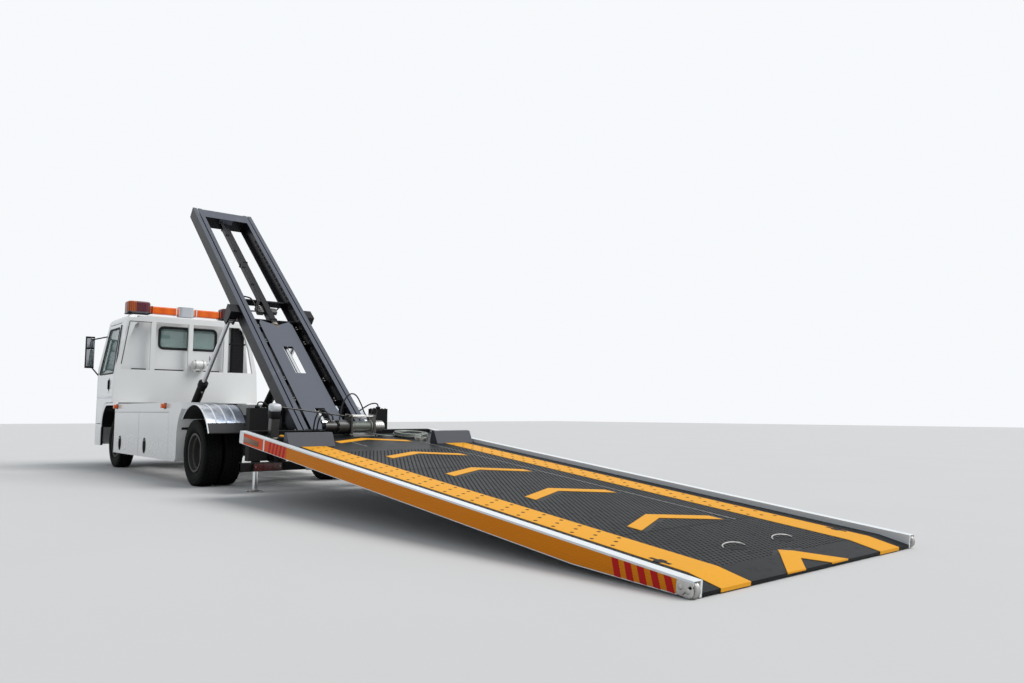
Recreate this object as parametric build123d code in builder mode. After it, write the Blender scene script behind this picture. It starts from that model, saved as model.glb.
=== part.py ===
from build123d import *
import os
from math import asin, atan2, copysign, cos, hypot, pi, radians, sin, tan

os.makedirs("parts", exist_ok=True)

# Flatbed tow truck with a tilting slide frame, in millimetres and degrees.
# Lengths along the truck are counted forward from the rear axle, and shift puts that axle in the part's frame,
# whose origin is on the ground below the middle of the whole truck. Y is left, Z is up.

# Wheels and axles
wheelbase = 4175
tyre_radius = 402
tyre_width = 222
rim_radius = 222
twin_pitch = 250
front_track = 1664
rear_track = 1670
kingpin_inset = 132

# Clearances: running fits, sliding faces, and the free gap round things that move
fit_gap = 0.06
slide_gap = 0.3
free_gap = 6

# Chassis rails, sub-frame and rear beam
rail_half = 425
rail_height = 210
rail_top = 780
rail_flange = 65
rail_wall = 8
chassis_tail = -1180
front_overhang = 1110
subframe_height = 70
subframe_width = 60
subframe_tail = -1085
crossmember_width = 80
crossmember_height = 120
rear_beam_back = -1255
rear_beam_length = 180
rear_beam_low = 610
rear_beam_height = 110

# Tilting slide frame: its hinge, its section and its length either side of the hinge
hinge_x = -1131
hinge_z = 900
tilt_rest = 40.5
frame_half = 454
frame_rail_width = 130
frame_top = 130
frame_low = 40
frame_flange = 20
frame_web = 14
frame_groove = 16
frame_ahead = 4630
frame_behind = 650
trunnion_radius = 30
hinge_plate = 20
hinge_boss_radius = 58

# Cover plate and slide cylinder on the slide frame
cover_half = 228
cover_thick = 6
cover_level = 44
cover_low = -610
cover_notch = 1704
cover_horn = 1810
slot_half = 71
slot_spans = ((-400, 14), (686, 1243))
slide_barrel_side = 90
slide_barrel_start = 1790
slide_barrel_end = 4560
slide_rod_radius = 27
slide_rod_low = -200
slide_rod_inside = 130

# Carriage that carries the bed's front hinge
bed_hinge_back = 628
bed_hinge_up = 204
carriage_travel = 5150
carriage_ahead = 130
carriage_behind = 25
shoe_thick = 30
arm_thick = 30
knuckle_radius = 36
bed_pin_radius = 20

# Bed
bed_length = 5766
bed_width = 2390
bed_ahead_gap = 43
bed_top_over_hinge = 60
side_rail_width = 70
side_rail_height = 126
side_rail_tail_height = 84
side_rail_wall = 8
taper_start = 4940
deck_drop = 37
deck_thick = 6
deck_bevel_start = 5560
deck_bevel_drop = 26
bed_beam_place = 540
bed_beam_width = 80
bed_beam_wall = 10
bed_cross_width = 50
bed_cross_count = 13
front_beam_length = 60
front_beam_depth = 60
bed_clearance = 2
ramp_roller_radius = 45
ramp_roller_width = 46
ramp_roller_from_end = 30
ramp_roller_below_top = 48
ramp_axle_radius = 12
ramp_cheek = 16

# Wheel stops and winch on the bed, counted back from its front end
stop_start = 850
stop_end = 976
stop_height = 125
stop_inner = 611
stop_outer = 1093
stop_sheet = 6
winch_place = 190
winch_height = 95
drum_left = 40
drum_right = -215
drum_wound = 58
drum_disc = 10
drum_flange = 76

# Tilt cylinders
cylinder_place = 530
cylinder_base_x = 2121
cylinder_base_z = 578
eye_along = 1965
eye_below = 90
barrel_radius = 57.5
barrel_length = 1080
piston_rod_radius = 32
eye_radius = 46
eye_width = 70
cylinder_pin_radius = 25

# Support legs
leg_x = -1200
leg_place = 780
leg_box_width = 210
leg_box_depth = 110
leg_box_low = 350
leg_box_top = 942
leg_rod_radius = 28
leg_travel = 300

# Cab
cab_back = 3690
cab_half = 1035
cab_floor = 1000
cab_skirt = 640
foot_floor = 840
roof_height = 2470
cab_wall = 40
cab_waist = 1500
door_gap = 10
windscreen_base = 1560

# Lockers, mudguards and guard
locker_half = 1090
locker_inner = 640
locker_front = 3632
locker_split = 2301
locker_back = 937
locker_low = 264
locker_door_top = 893
locker_top = 1017
locker_wall = 25
mudguard_radius = 587
mudguard_sheet = 6
guard_x = 3550
guard_depth = 50
guard_half = 1161
guard_low = 1043
guard_sill = 1566
guard_top = 2432
guard_post = 70

# Worked out from the driving dimensions
rail_low = rail_top - rail_height
subframe_top = rail_top + subframe_height
nose = wheelbase + front_overhang
tilt = radians(tilt_rest)
bed_hinge_x = hinge_x - bed_hinge_back * cos(tilt) - bed_hinge_up * sin(tilt)
bed_hinge_z = hinge_z - bed_hinge_back * sin(tilt) + bed_hinge_up * cos(tilt)
roller_back = bed_ahead_gap + bed_length - ramp_roller_from_end
roller_down = ramp_roller_below_top - bed_top_over_hinge
slope = asin((bed_hinge_z - ramp_roller_radius) / hypot(roller_back, roller_down)) - atan2(roller_down, roller_back)
tail_reach = bed_hinge_x - roller_back * cos(slope) + roller_down * sin(slope) - ramp_roller_radius
shift = -(nose + tail_reach) / 2
half_bed = bed_width / 2
deck_half = half_bed - side_rail_width
deck_level = bed_top_over_hinge - deck_drop
frame_centre = frame_half - frame_rail_width / 2
rest_span = (cos(tilt) * eye_along + sin(tilt) * eye_below, sin(tilt) * eye_along - cos(tilt) * eye_below)
cylinder_rest = hypot(hinge_x + rest_span[0] - cylinder_base_x, hinge_z + rest_span[1] - cylinder_base_z)
cylinder_flat = hypot(hinge_x + eye_along - cylinder_base_x, hinge_z - eye_below - cylinder_base_z)


def at_side(y):
    """Upright plane at y: its x runs forward and its y runs up, and it faces the right side."""
    return Plane.XZ.offset(-y)


def on_frame(y=0):
    """Upright plane along the tilted slide frame, with its origin at the frame's hinge."""
    return Plane(origin=(shift + hinge_x, y, hinge_z), x_dir=(cos(tilt), 0, sin(tilt)), z_dir=(0, -1, 0))


def over_frame(level=0):
    """Plane in the slide frame's own slope, at a level above its hinge."""
    base = Plane(origin=(shift + hinge_x, 0, hinge_z), x_dir=(cos(tilt), 0, sin(tilt)), z_dir=(-sin(tilt), 0, cos(tilt)))
    return base.offset(level)


def across_frame(along):
    """Plane square to the slide frame: its x runs to the left and its y runs up the frame's thickness."""
    place = (shift + hinge_x + along * cos(tilt), 0, hinge_z + along * sin(tilt))
    return Plane(origin=place, x_dir=(0, 1, 0), z_dir=(cos(tilt), 0, sin(tilt)))


def on_bed(y=0):
    """Upright plane along the bed, with its origin at the bed's front hinge."""
    return Plane(origin=(shift + bed_hinge_x, y, bed_hinge_z), x_dir=(cos(slope), 0, sin(slope)), z_dir=(0, -1, 0))


def over_bed(level=0):
    """Plane in the bed's own slope, at a level above its hinge."""
    place = (shift + bed_hinge_x, 0, bed_hinge_z)
    return Plane(origin=place, x_dir=(cos(slope), 0, sin(slope)), z_dir=(-sin(slope), 0, cos(slope))).offset(level)


def back(place):
    """Distance along the bed from its hinge, for a place counted back from the bed's front end."""
    return -bed_ahead_gap - place


def save(piece, label):
    piece.part.label = label
    export_step(piece.part, f"parts/{label}.step")


def mirrored(y):
    return (("left", y, 1), ("right", -y, -1))


# Chassis: channel rails, sub-frame, crossmembers, rear beam with leg boxes, hinge plates and struts
crossmember_places = (-950, -500, 600, 1500, 2400, 2950, 4900)
strut_radius = 16
strut_reach = mudguard_radius - mudguard_sheet - strut_radius
strut_angle = 30
underrun_back = -1330
underrun_low = 240
underrun_height = 100
underrun_thick = 60
underrun_half = 1000
hanger_place = 560
hanger_width = 40
base_boss_radius = 45
cab_mount_length = 90
cab_mounts = ((cab_back + 70, cab_floor), (4990, foot_floor))
guard_leg = 60
pin_collar = 12
hinge_plates = (frame_half + free_gap + hinge_plate / 2, frame_half - frame_rail_width - free_gap - hinge_plate / 2)

with BuildPart() as chassis_frame:
    for side, y, sign in mirrored(rail_half):
        with BuildSketch(Plane.YZ.offset(shift + chassis_tail)):
            with Locations((y - sign * rail_flange / 2, rail_low + rail_height / 2)):
                Rectangle(rail_flange, rail_height)
            with Locations((y - sign * (rail_flange + rail_wall) / 2, rail_low + rail_height / 2)):
                Rectangle(rail_flange - rail_wall, rail_height - 2 * rail_wall, mode=Mode.SUBTRACT)
        extrude(amount=nose - 160 - chassis_tail)
        with BuildSketch(Plane.YZ.offset(shift + subframe_tail)):
            with Locations((y - sign * rail_flange / 2, rail_top + subframe_height / 2)):
                Rectangle(subframe_width, subframe_height)
                Rectangle(subframe_width - 2 * rail_wall, subframe_height - 2 * rail_wall, mode=Mode.SUBTRACT)
        extrude(amount=guard_x + guard_depth - subframe_tail)
        with BuildSketch(Plane.XY.offset(subframe_top)):
            with Locations((shift + guard_x + guard_depth / 2, y - sign * rail_flange / 2)):
                Rectangle(guard_depth, guard_leg)
        extrude(amount=guard_low - subframe_top)
        for place, height in cab_mounts:
            with BuildSketch(Plane.XY.offset(rail_top)):
                with Locations((shift + place, y - sign * rail_flange / 2)):
                    Rectangle(cab_mount_length, subframe_width)
            extrude(amount=height - rail_top)
    for place in crossmember_places:
        with BuildSketch(at_side(rail_half - rail_wall)):
            with Locations((shift + place, rail_top - rail_wall - crossmember_height / 2)):
                Rectangle(crossmember_width, crossmember_height)
                Rectangle(crossmember_width - 2 * rail_wall, crossmember_height - 2 * rail_wall, mode=Mode.SUBTRACT)
        extrude(amount=2 * (rail_half - rail_wall))
    with BuildSketch(at_side(leg_place)):
        with Locations((shift + rear_beam_back + rear_beam_length / 2, rear_beam_low + rear_beam_height / 2)):
            Rectangle(rear_beam_length, rear_beam_height)
    extrude(amount=2 * leg_place)
    with BuildSketch(Plane.XY.offset(leg_box_low)):
        with Locations((shift + leg_x, leg_place), (shift + leg_x, -leg_place)):
            Rectangle(leg_box_depth, leg_box_width)
    extrude(amount=leg_box_top - leg_box_low)
    with BuildSketch(Plane.XY.offset(leg_box_low)):
        with Locations((shift + leg_x, leg_place), (shift + leg_x, -leg_place)):
            Circle(leg_rod_radius + fit_gap)
    extrude(amount=leg_box_top - leg_box_low - rail_wall, mode=Mode.SUBTRACT)
    for place in hinge_plates:
        for side, y, sign in mirrored(place):
            with BuildSketch(at_side(y + hinge_plate / 2)):
                with BuildLine():
                    Polyline((shift + hinge_x - hinge_boss_radius, rear_beam_low + rear_beam_height / 2),
                             (shift + hinge_x + hinge_boss_radius, rear_beam_low + rear_beam_height / 2),
                             (shift + hinge_x + hinge_boss_radius, hinge_z), (shift + hinge_x - hinge_boss_radius, hinge_z),
                             close=True)
                make_face()
                with Locations((shift + hinge_x, hinge_z)):
                    Circle(hinge_boss_radius)
                    Circle(trunnion_radius + fit_gap, mode=Mode.SUBTRACT)
            extrude(amount=hinge_plate)
    for side, y, sign in mirrored(rail_half):
        for end in (1, -1):
            reach = end * strut_reach * cos(radians(strut_angle))
            with BuildSketch(at_side(y - sign * rail_wall / 2)):
                with Locations((shift + reach, tyre_radius + strut_reach * sin(radians(strut_angle)))):
                    Circle(strut_radius)
            extrude(amount=-sign * (locker_half - locker_wall - rail_half))
        with BuildSketch(at_side(y - sign * rail_wall / 2)):
            with Locations((shift + cylinder_base_x, cylinder_base_z)):
                Circle(base_boss_radius)
        extrude(amount=-sign * (cylinder_place - eye_width / 2 - slide_gap - rail_half + rail_wall / 2))
        with BuildSketch(at_side(y)):
            with Locations((shift + cylinder_base_x, cylinder_base_z)):
                Circle(cylinder_pin_radius)
        extrude(amount=-sign * (cylinder_place + eye_width / 2 + slide_gap - rail_half))
        with BuildSketch(at_side(sign * (cylinder_place + eye_width / 2 + slide_gap))):
            with Locations((shift + cylinder_base_x, cylinder_base_z)):
                Circle(cylinder_pin_radius + pin_collar)
        extrude(amount=-sign * pin_collar)
    for side, y, sign in mirrored(hanger_place):
        with BuildSketch(at_side(y + hanger_width / 2)):
            with BuildLine():
                Polyline((shift + underrun_back, underrun_low), (shift + underrun_back + underrun_thick, underrun_low),
                         (shift + rear_beam_back + underrun_thick, rear_beam_low + 20),
                         (shift + rear_beam_back, rear_beam_low + 20),
                         (shift + rear_beam_back, rear_beam_low - 60),
                         (shift + underrun_back, underrun_low + underrun_height + 60), close=True)
            make_face()
        extrude(amount=hanger_width)
    with BuildSketch(at_side(underrun_half)):
        with Locations((shift + underrun_back + underrun_thick / 2, underrun_low + underrun_height / 2)):
            RectangleRounded(underrun_thick, underrun_height, 12)
    extrude(amount=2 * underrun_half)
save(chassis_frame, "chassis_frame")

# Engine and gearbox as plain blocks, with the shaft to the rear axle
engine_start = 3760
engine_length = 800
engine_half = 290
engine_low = 470
engine_height = 360
gearbox_length = 620
gearbox_half = 170
gearbox_low = 450
gearbox_height = 270
shaft_radius = 42
pinion_reach = 230
shaft_start_z = 540

with BuildPart() as engine_block:
    with BuildSketch(Plane.XY.offset(engine_low)):
        with Locations((shift + engine_start + engine_length / 2, 0)):
            Rectangle(engine_length, 2 * engine_half)
    extrude(amount=engine_height)
    chamfer(engine_block.edges().filter_by(Axis.X), 40)
    with BuildSketch(Plane.YZ.offset(shift + engine_start - gearbox_length)):
        with Locations((0, gearbox_low + gearbox_height / 2)):
            RectangleRounded(2 * gearbox_half, gearbox_height, 60)
    extrude(amount=gearbox_length + 10)
    shaft_end = (shift + pinion_reach + shaft_radius + slide_gap, 0, tyre_radius + 30)
    shaft_start = (shift + engine_start - gearbox_length + 10, 0, shaft_start_z)
    with BuildSketch(Plane(origin=shaft_start, z_dir=Vector(*shaft_end) - Vector(*shaft_start))):
        Circle(shaft_radius)
    extrude(amount=(Vector(*shaft_end) - Vector(*shaft_start)).length)
    with Locations(shaft_end):
        Sphere(shaft_radius)
save(engine_block, "engine_block")

# Front axle: drop-forged beam with king-pin eyes and its leaf springs
kingpin = front_track / 2 - kingpin_inset
beam_thick = 70
beam_height = 84
beam_drop = 90
eye_height = 96
eye_outer = 42
kingpin_radius = 18
spring_place = rail_half - rail_flange / 2
spring_width = 60
spring_half = 620
spring_thick = 46

with BuildPart() as front_axle:
    with BuildSketch(Plane.YZ.offset(shift + wheelbase - beam_thick / 2)):
        with BuildLine():
            top = tyre_radius + beam_height / 2
            Polyline((-kingpin, top), (-kingpin + 110, top), (-kingpin + 230, top - beam_drop), (kingpin - 230, top - beam_drop),
                     (kingpin - 110, top), (kingpin, top), (kingpin, top - beam_height), (kingpin - 130, top - beam_height),
                     (kingpin - 250, top - beam_drop - beam_height), (-kingpin + 250, top - beam_drop - beam_height),
                     (-kingpin + 130, top - beam_height), (-kingpin, top - beam_height), close=True)
        make_face()
    extrude(amount=beam_thick)
    with BuildSketch(Plane.XY.offset(tyre_radius - eye_height / 2)):
        with Locations((shift + wheelbase, kingpin), (shift + wheelbase, -kingpin)):
            Circle(eye_outer)
    extrude(amount=eye_height)
    with BuildSketch(Plane.XY.offset(tyre_radius - eye_height)):
        with Locations((shift + wheelbase, kingpin), (shift + wheelbase, -kingpin)):
            Circle(kingpin_radius + fit_gap)
    extrude(amount=2 * eye_height, mode=Mode.SUBTRACT)
    for side, y, sign in mirrored(spring_place):
        with BuildSketch(at_side(y + spring_width / 2)):
            seat = tyre_radius + beam_height / 2 - beam_drop - 4
            with BuildLine():
                low = ThreePointArc((shift + wheelbase - spring_half, rail_low - spring_thick), (shift + wheelbase, seat),
                                    (shift + wheelbase + spring_half, rail_low - spring_thick))
                Line(low @ 1, (shift + wheelbase + spring_half, rail_low))
                high = ThreePointArc((shift + wheelbase + spring_half, rail_low), (shift + wheelbase, seat + spring_thick),
                                     (shift + wheelbase - spring_half, rail_low))
                Line(high @ 1, low @ 0)
            make_face()
        extrude(amount=spring_width)
save(front_axle, "front_axle")

# Rear axle: banjo housing with its leaf springs
axle_tube_radius = 58
axle_tube_half = 470
spindle_radius = 40
spindle_length = 90
banjo_radius = 165
banjo_half = 120

with BuildPart() as rear_axle:
    with BuildSketch(at_side(axle_tube_half)):
        with Locations((shift, tyre_radius)):
            Circle(axle_tube_radius)
    extrude(amount=2 * axle_tube_half)
    with BuildSketch(at_side(axle_tube_half + spindle_length)):
        with Locations((shift, tyre_radius)):
            Circle(spindle_radius)
    extrude(amount=2 * (axle_tube_half + spindle_length))
    with BuildSketch(Plane.YZ.offset(shift)):
        with Locations((0, tyre_radius + 30)):
            Circle(axle_tube_radius)
    extrude(amount=pinion_reach)
    with BuildSketch(Plane.YZ.offset(shift)):
        with BuildLine():
            Line((-2 * banjo_half, tyre_radius), (2 * banjo_half, tyre_radius))
            ThreePointArc((2 * banjo_half, tyre_radius), (0, tyre_radius + banjo_radius), (-2 * banjo_half, tyre_radius))
        make_face()
    revolve(axis=Axis((shift, 0, tyre_radius), (0, 1, 0)))
    for side, y, sign in mirrored(spring_place):
        with BuildSketch(at_side(y + spring_width / 2)):
            seat = tyre_radius + axle_tube_radius - 6
            with BuildLine():
                low = ThreePointArc((shift - spring_half, rail_low - spring_thick), (shift, seat),
                                    (shift + spring_half, rail_low - spring_thick))
                Line(low @ 1, (shift + spring_half, rail_low))
                high = ThreePointArc((shift + spring_half, rail_low), (shift, seat + spring_thick), (shift - spring_half, rail_low))
                Line(high @ 1, low @ 0)
            make_face()
        extrude(amount=spring_width)
save(rear_axle, "rear_axle")

# Steering knuckles: fork round the axle eye, king pin, stub axle and brake plate
fork_wall = 26
fork_gap = 1
fork_depth = 84
stub_radius = 34
brake_radius = 165
brake_thick = 14
hub_offset = 45

for side, y, sign in mirrored(kingpin):
    with BuildPart() as knuckle:
        with BuildSketch(Plane.YZ.offset(shift + wheelbase - fork_depth / 2)):
            with Locations((y + sign * 12, tyre_radius)):
                Rectangle(2 * eye_outer + 24, eye_height + 2 * fork_gap + 2 * fork_wall)
        extrude(amount=fork_depth)
        with BuildSketch(Plane.YZ.offset(shift + wheelbase - fork_depth)):
            with Locations((y - sign * 10, tyre_radius)):
                Rectangle(2 * eye_outer + 26, eye_height + 2 * fork_gap)
        extrude(amount=2 * fork_depth, mode=Mode.SUBTRACT)
        with BuildSketch(Plane.XY.offset(tyre_radius - eye_height / 2 - fork_gap - fork_wall)):
            with Locations((shift + wheelbase, y)):
                Circle(kingpin_radius)
        extrude(amount=eye_height + 2 * fork_gap + 2 * fork_wall)
        with BuildSketch(at_side(y + sign * (eye_outer + 6))):
            with Locations((shift + wheelbase, tyre_radius)):
                Circle(brake_radius)
        extrude(amount=-sign * brake_thick)
        with BuildSketch(at_side(y + sign * (eye_outer + 6))):
            with Locations((shift + wheelbase, tyre_radius)):
                Circle(stub_radius)
        extrude(amount=-sign * (hub_offset + 50))
    save(knuckle, f"knuckle_{side}")

# Wheels: tyre sections and dished rims turned about their own centre lines
bead_half = 82
bead_inset = 2
bead_height = 19
crown_half = 96
shoulder_drop = 26
rim_lip = 14
rim_sheet = 9
well_half = 34
well_depth = 22
dish_front = 62
disc_half = 6
disc_flat = 130
hub_bore = 75
hub_radius = 95
hub_cap_radius = 55
hub_cap_length = 36
rim_gap = 0.3
drum_radius = 155
drum_width = 110
hub_inset = 8


def tyre_at(y):
    """Tyre section at the wheel's middle plane y, turned about the axle."""
    half = tyre_width / 2
    bead = bead_half - bead_inset
    inside = tyre_radius + rim_radius + rim_gap
    shoulder = 2 * tyre_radius - shoulder_drop
    with BuildLine() as outline:
        Polyline((y - bead, inside + bead_height), (y - bead, inside), (y + bead, inside), (y + bead, inside + bead_height))
        ThreePointArc((y + bead, inside + bead_height), (y + half, (inside + shoulder) / 2), (y + crown_half, shoulder))
        ThreePointArc((y + crown_half, shoulder), (y, 2 * tyre_radius), (y - crown_half, shoulder))
        ThreePointArc((y - crown_half, shoulder), (y - half, (inside + shoulder) / 2), (y - bead, inside + bead_height))
    make_face(outline.edges())


def rim_at(y, dish):
    """Rim section at the wheel's middle plane y: drop-centre barrel and a disc dished out to the hub face."""
    up = tyre_radius
    well = rim_radius - well_depth
    foot = copysign(well_half / 2, dish)
    with BuildLine() as outline:
        Polyline((y - bead_half - rim_lip, up + rim_radius + rim_lip), (y - bead_half, up + rim_radius),
                 (y - well_half - 10, up + rim_radius), (y - well_half, up + well), (y + well_half, up + well),
                 (y + well_half + 10, up + rim_radius), (y + bead_half, up + rim_radius),
                 (y + bead_half + rim_lip, up + rim_radius + rim_lip),
                 (y + bead_half + rim_lip, up + rim_radius - rim_sheet), (y + well_half + 18, up + rim_radius - rim_sheet),
                 (y + well_half + 6, up + well - rim_sheet), (y - well_half - 6, up + well - rim_sheet),
                 (y - well_half - 18, up + rim_radius - rim_sheet), (y - bead_half - rim_lip, up + rim_radius - rim_sheet),
                 close=True)
    make_face(outline.edges())
    with BuildLine() as outline:
        Polyline((y + dish - disc_half, up + hub_bore), (y + dish + disc_half, up + hub_bore), (y + dish + disc_half, up + disc_flat),
                 (y + foot + disc_half, up + well - 1), (y + foot - disc_half, up + well - 1), (y + dish - disc_half, up + disc_flat),
                 close=True)
    make_face(outline.edges())


axle_line = Axis((shift, 0, tyre_radius), (0, 1, 0))
steer_line = Axis((shift + wheelbase, 0, tyre_radius), (0, 1, 0))
for side, y, sign in mirrored(front_track / 2):
    with BuildPart() as front_tyre:
        with BuildSketch(Plane.YZ.offset(shift + wheelbase)):
            tyre_at(y)
        revolve(axis=steer_line)
    save(front_tyre, f"front_{side}_tyre")
    with BuildPart() as front_rim:
        with BuildSketch(Plane.YZ.offset(shift + wheelbase)):
            rim_at(y, sign * dish_front)
        revolve(axis=steer_line)
        with BuildSketch(at_side(y - sign * hub_inset)):
            with Locations((shift + wheelbase, tyre_radius)):
                Circle(hub_radius)
                Circle(stub_radius + fit_gap, mode=Mode.SUBTRACT)
        extrude(amount=-sign * (dish_front + hub_inset))
        with BuildSketch(at_side(y + sign * dish_front)):
            with Locations((shift + wheelbase, tyre_radius)):
                Circle(hub_cap_radius)
        extrude(amount=-sign * hub_cap_length)
    save(front_rim, f"front_{side}_rim")

outer_tyre = (rear_track + twin_pitch) / 2
inner_tyre = (rear_track - twin_pitch) / 2
twin_dish = twin_pitch / 2 - disc_half
for side, sign in (("left", 1), ("right", -1)):
    with BuildPart() as rear_tyres:
        for y in (sign * outer_tyre, sign * inner_tyre):
            with BuildSketch(Plane.YZ.offset(shift)):
                tyre_at(y)
            revolve(axis=axle_line)
    save(rear_tyres, f"rear_{side}_tyres")
    with BuildPart() as rear_rims:
        for y, dish in ((sign * outer_tyre, -sign * twin_dish), (sign * inner_tyre, sign * twin_dish)):
            with BuildSketch(Plane.YZ.offset(shift)):
                rim_at(y, dish)
            revolve(axis=axle_line)
        with BuildSketch(at_side(sign * (axle_tube_half + hub_inset))):
            with Locations((shift, tyre_radius)):
                Circle(hub_radius)
                Circle(spindle_radius + fit_gap, mode=Mode.SUBTRACT)
        extrude(amount=-sign * (spindle_length + hub_inset))
        with BuildSketch(at_side(sign * (axle_tube_half + spindle_length + 2 * hub_inset))):
            with Locations((shift, tyre_radius)):
                Circle(hub_radius)
        extrude(amount=-sign * (outer_tyre - hub_inset - axle_tube_half - spindle_length - 2 * hub_inset))
        with BuildSketch(at_side(sign * (axle_tube_half + spindle_length + hub_inset))):
            with Locations((shift, tyre_radius)):
                Circle(drum_radius)
        extrude(amount=-sign * drum_width)
    save(rear_rims, f"rear_{side}_rims")

# Support legs: rod with its foot plate
foot_thick = 14
foot_length = 120
foot_width = 170
leg_rod_top = leg_box_top - leg_travel - 2 * free_gap - rail_wall
for side, y, sign in mirrored(leg_place):
    with BuildPart() as leg:
        with BuildSketch(Plane.XY):
            with Locations((shift + leg_x, y)):
                RectangleRounded(foot_length, foot_width, 20)
        extrude(amount=foot_thick)
        with BuildSketch(Plane.XY.offset(foot_thick)):
            with Locations((shift + leg_x, y)):
                Circle(leg_rod_radius)
        extrude(amount=leg_rod_top - foot_thick)
    save(leg, f"leg_{side}")

# Slide frame: two grooved box rails, their cross pieces, trunnions, cylinder brackets and the slide cylinder
wing_inner = 60
wing_thick = 16
wing_places = (170, 560, 1330, 1660)
upper_cross_places = (2290,)
tip_cross_length = 240
tip_cross_low = -50
gland_place = slide_barrel_start + 40
horn_slope = 70
cover_web = 6
inner_flange = 60
inner_flange_thick = 8
bracket_plate = 20
bracket_half = 85
bracket_head = 10
bracket_plates = (cylinder_place - eye_width / 2 - slide_gap - bracket_plate / 2,
                  cylinder_place + eye_width / 2 + slide_gap + bracket_plate / 2)
rail_inner = frame_half - frame_rail_width
cross_height = frame_low + cover_level

with BuildPart() as tilt_frame:
    for side, y, sign in mirrored(frame_centre):
        with BuildSketch(across_frame(-frame_behind)):
            with Locations((y, (frame_top - frame_low) / 2)):
                Rectangle(frame_rail_width, frame_top + frame_low)
                Rectangle(frame_rail_width - 2 * frame_web, frame_top + frame_low - 2 * frame_flange, mode=Mode.SUBTRACT)
            with Locations((y, frame_top - frame_flange / 2)):
                Rectangle(frame_groove, frame_flange, mode=Mode.SUBTRACT)
        extrude(amount=frame_ahead + frame_behind)
    for place in wing_places:
        with BuildSketch(across_frame(place - wing_thick / 2)):
            for side, y, sign in mirrored((wing_inner + rail_inner) / 2):
                with Locations((y, (cover_level - frame_low) / 2)):
                    Rectangle(rail_inner - wing_inner, cross_height)
        extrude(amount=wing_thick)
    for place in upper_cross_places:
        with BuildSketch(across_frame(place - wing_thick)):
            with Locations((0, (cover_level - frame_low) / 2)):
                Rectangle(2 * rail_inner, cross_height)
        extrude(amount=2 * wing_thick)
    with BuildSketch(across_frame(gland_place - wing_thick / 2)):
        with Locations((0, (cover_level - frame_low) / 2)):
            Rectangle(2 * rail_inner, cross_height)
    extrude(amount=wing_thick)
    with BuildSketch(across_frame(frame_ahead - tip_cross_length)):
        with Locations((0, (frame_top + tip_cross_low) / 2)):
            Rectangle(2 * rail_inner, frame_top - tip_cross_low)
    extrude(amount=tip_cross_length - wing_thick)
    with BuildSketch(across_frame(slide_barrel_start)):
        RectangleRounded(slide_barrel_side, slide_barrel_side, slide_barrel_side / 10)
    extrude(amount=slide_barrel_end - slide_barrel_start)
    for side, y, sign in mirrored(cover_half - cover_web / 2):
        with BuildSketch(across_frame(cover_low)):
            with Locations((y, (cover_level - frame_low) / 2)):
                Rectangle(cover_web, cross_height)
        extrude(amount=cover_horn - horn_slope - cover_low)
    for side, y, sign in mirrored(rail_inner - inner_flange / 2):
        with BuildSketch(across_frame(wing_places[0] + wing_thick / 2)):
            with Locations((y, inner_flange_thick / 2 - frame_low)):
                Rectangle(inner_flange, inner_flange_thick)
        extrude(amount=frame_ahead - wing_thick - wing_places[0])
    for side, y, sign in mirrored(rail_inner - free_gap - hinge_plate):
        with BuildSketch(at_side(y)):
            with Locations((shift + hinge_x, hinge_z)):
                Circle(trunnion_radius)
        extrude(amount=-sign * (frame_rail_width + 2 * free_gap + 2 * hinge_plate))
    for side, sign in (("left", 1), ("right", -1)):
        web_far = cylinder_place + eye_width / 2 + slide_gap + bracket_plate
        with BuildSketch(on_frame(sign * rail_inner + sign * frame_web)):
            with Locations((eye_along, (frame_top + bracket_head) / 2 - 20)):
                Rectangle(2 * bracket_half, frame_top - bracket_head - 20)
        extrude(amount=-sign * (web_far - rail_inner - frame_web))
        for place in bracket_plates:
            with BuildSketch(on_frame(sign * (place - bracket_plate / 2))):
                with BuildLine():
                    Polyline((eye_along - bracket_half, bracket_head), (eye_along - eye_radius, -eye_below - eye_radius),
                             (eye_along + eye_radius, -eye_below - eye_radius), (eye_along + bracket_half, bracket_head),
                             close=True)
                make_face()
            extrude(amount=-sign * bracket_plate)
    for side, y, sign in mirrored(frame_centre):
        with BuildSketch(across_frame(-frame_behind)):
            with Locations((y, (frame_top - frame_low) / 2)):
                Rectangle(frame_rail_width - 2 * frame_web, frame_top + frame_low - 2 * frame_flange)
        extrude(amount=frame_ahead + frame_behind, mode=Mode.SUBTRACT)
    with BuildSketch(across_frame(slide_barrel_start)):
        Circle(slide_rod_radius + fit_gap)
    extrude(amount=slide_barrel_end - slide_barrel_start - wing_thick, mode=Mode.SUBTRACT)
save(tilt_frame, "tilt_frame")

# Cover plate: slotted, with a notch between two horns at its upper end
horn_inset = 28
with BuildPart() as frame_cover:
    with BuildSketch(over_frame(cover_level)):
        with BuildLine():
            Polyline((cover_low, -cover_half), (cover_horn - horn_slope, -cover_half), (cover_horn, horn_inset - cover_half),
                     (cover_notch, 0), (cover_horn, cover_half - horn_inset), (cover_horn - horn_slope, cover_half),
                     (cover_low, cover_half), close=True)
        make_face()
        for start, end in slot_spans:
            with Locations(((start + end) / 2, 0)):
                Rectangle(end - start, 2 * slot_half, mode=Mode.SUBTRACT)
    extrude(amount=cover_thick)
save(frame_cover, "frame_cover")

# Rod of the slide cylinder
rod_head_half = 30
rod_high = slide_barrel_start + slide_rod_inside
with BuildPart() as slide_rod:
    with BuildSketch(across_frame(slide_rod_low)):
        Circle(slide_rod_radius)
    extrude(amount=rod_high - slide_rod_low)
    with BuildSketch(on_frame(rod_head_half)):
        with Locations((slide_rod_low, 0)):
            Circle(slide_rod_radius + free_gap)
    extrude(amount=2 * rod_head_half)
save(slide_rod, "slide_rod")

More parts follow.
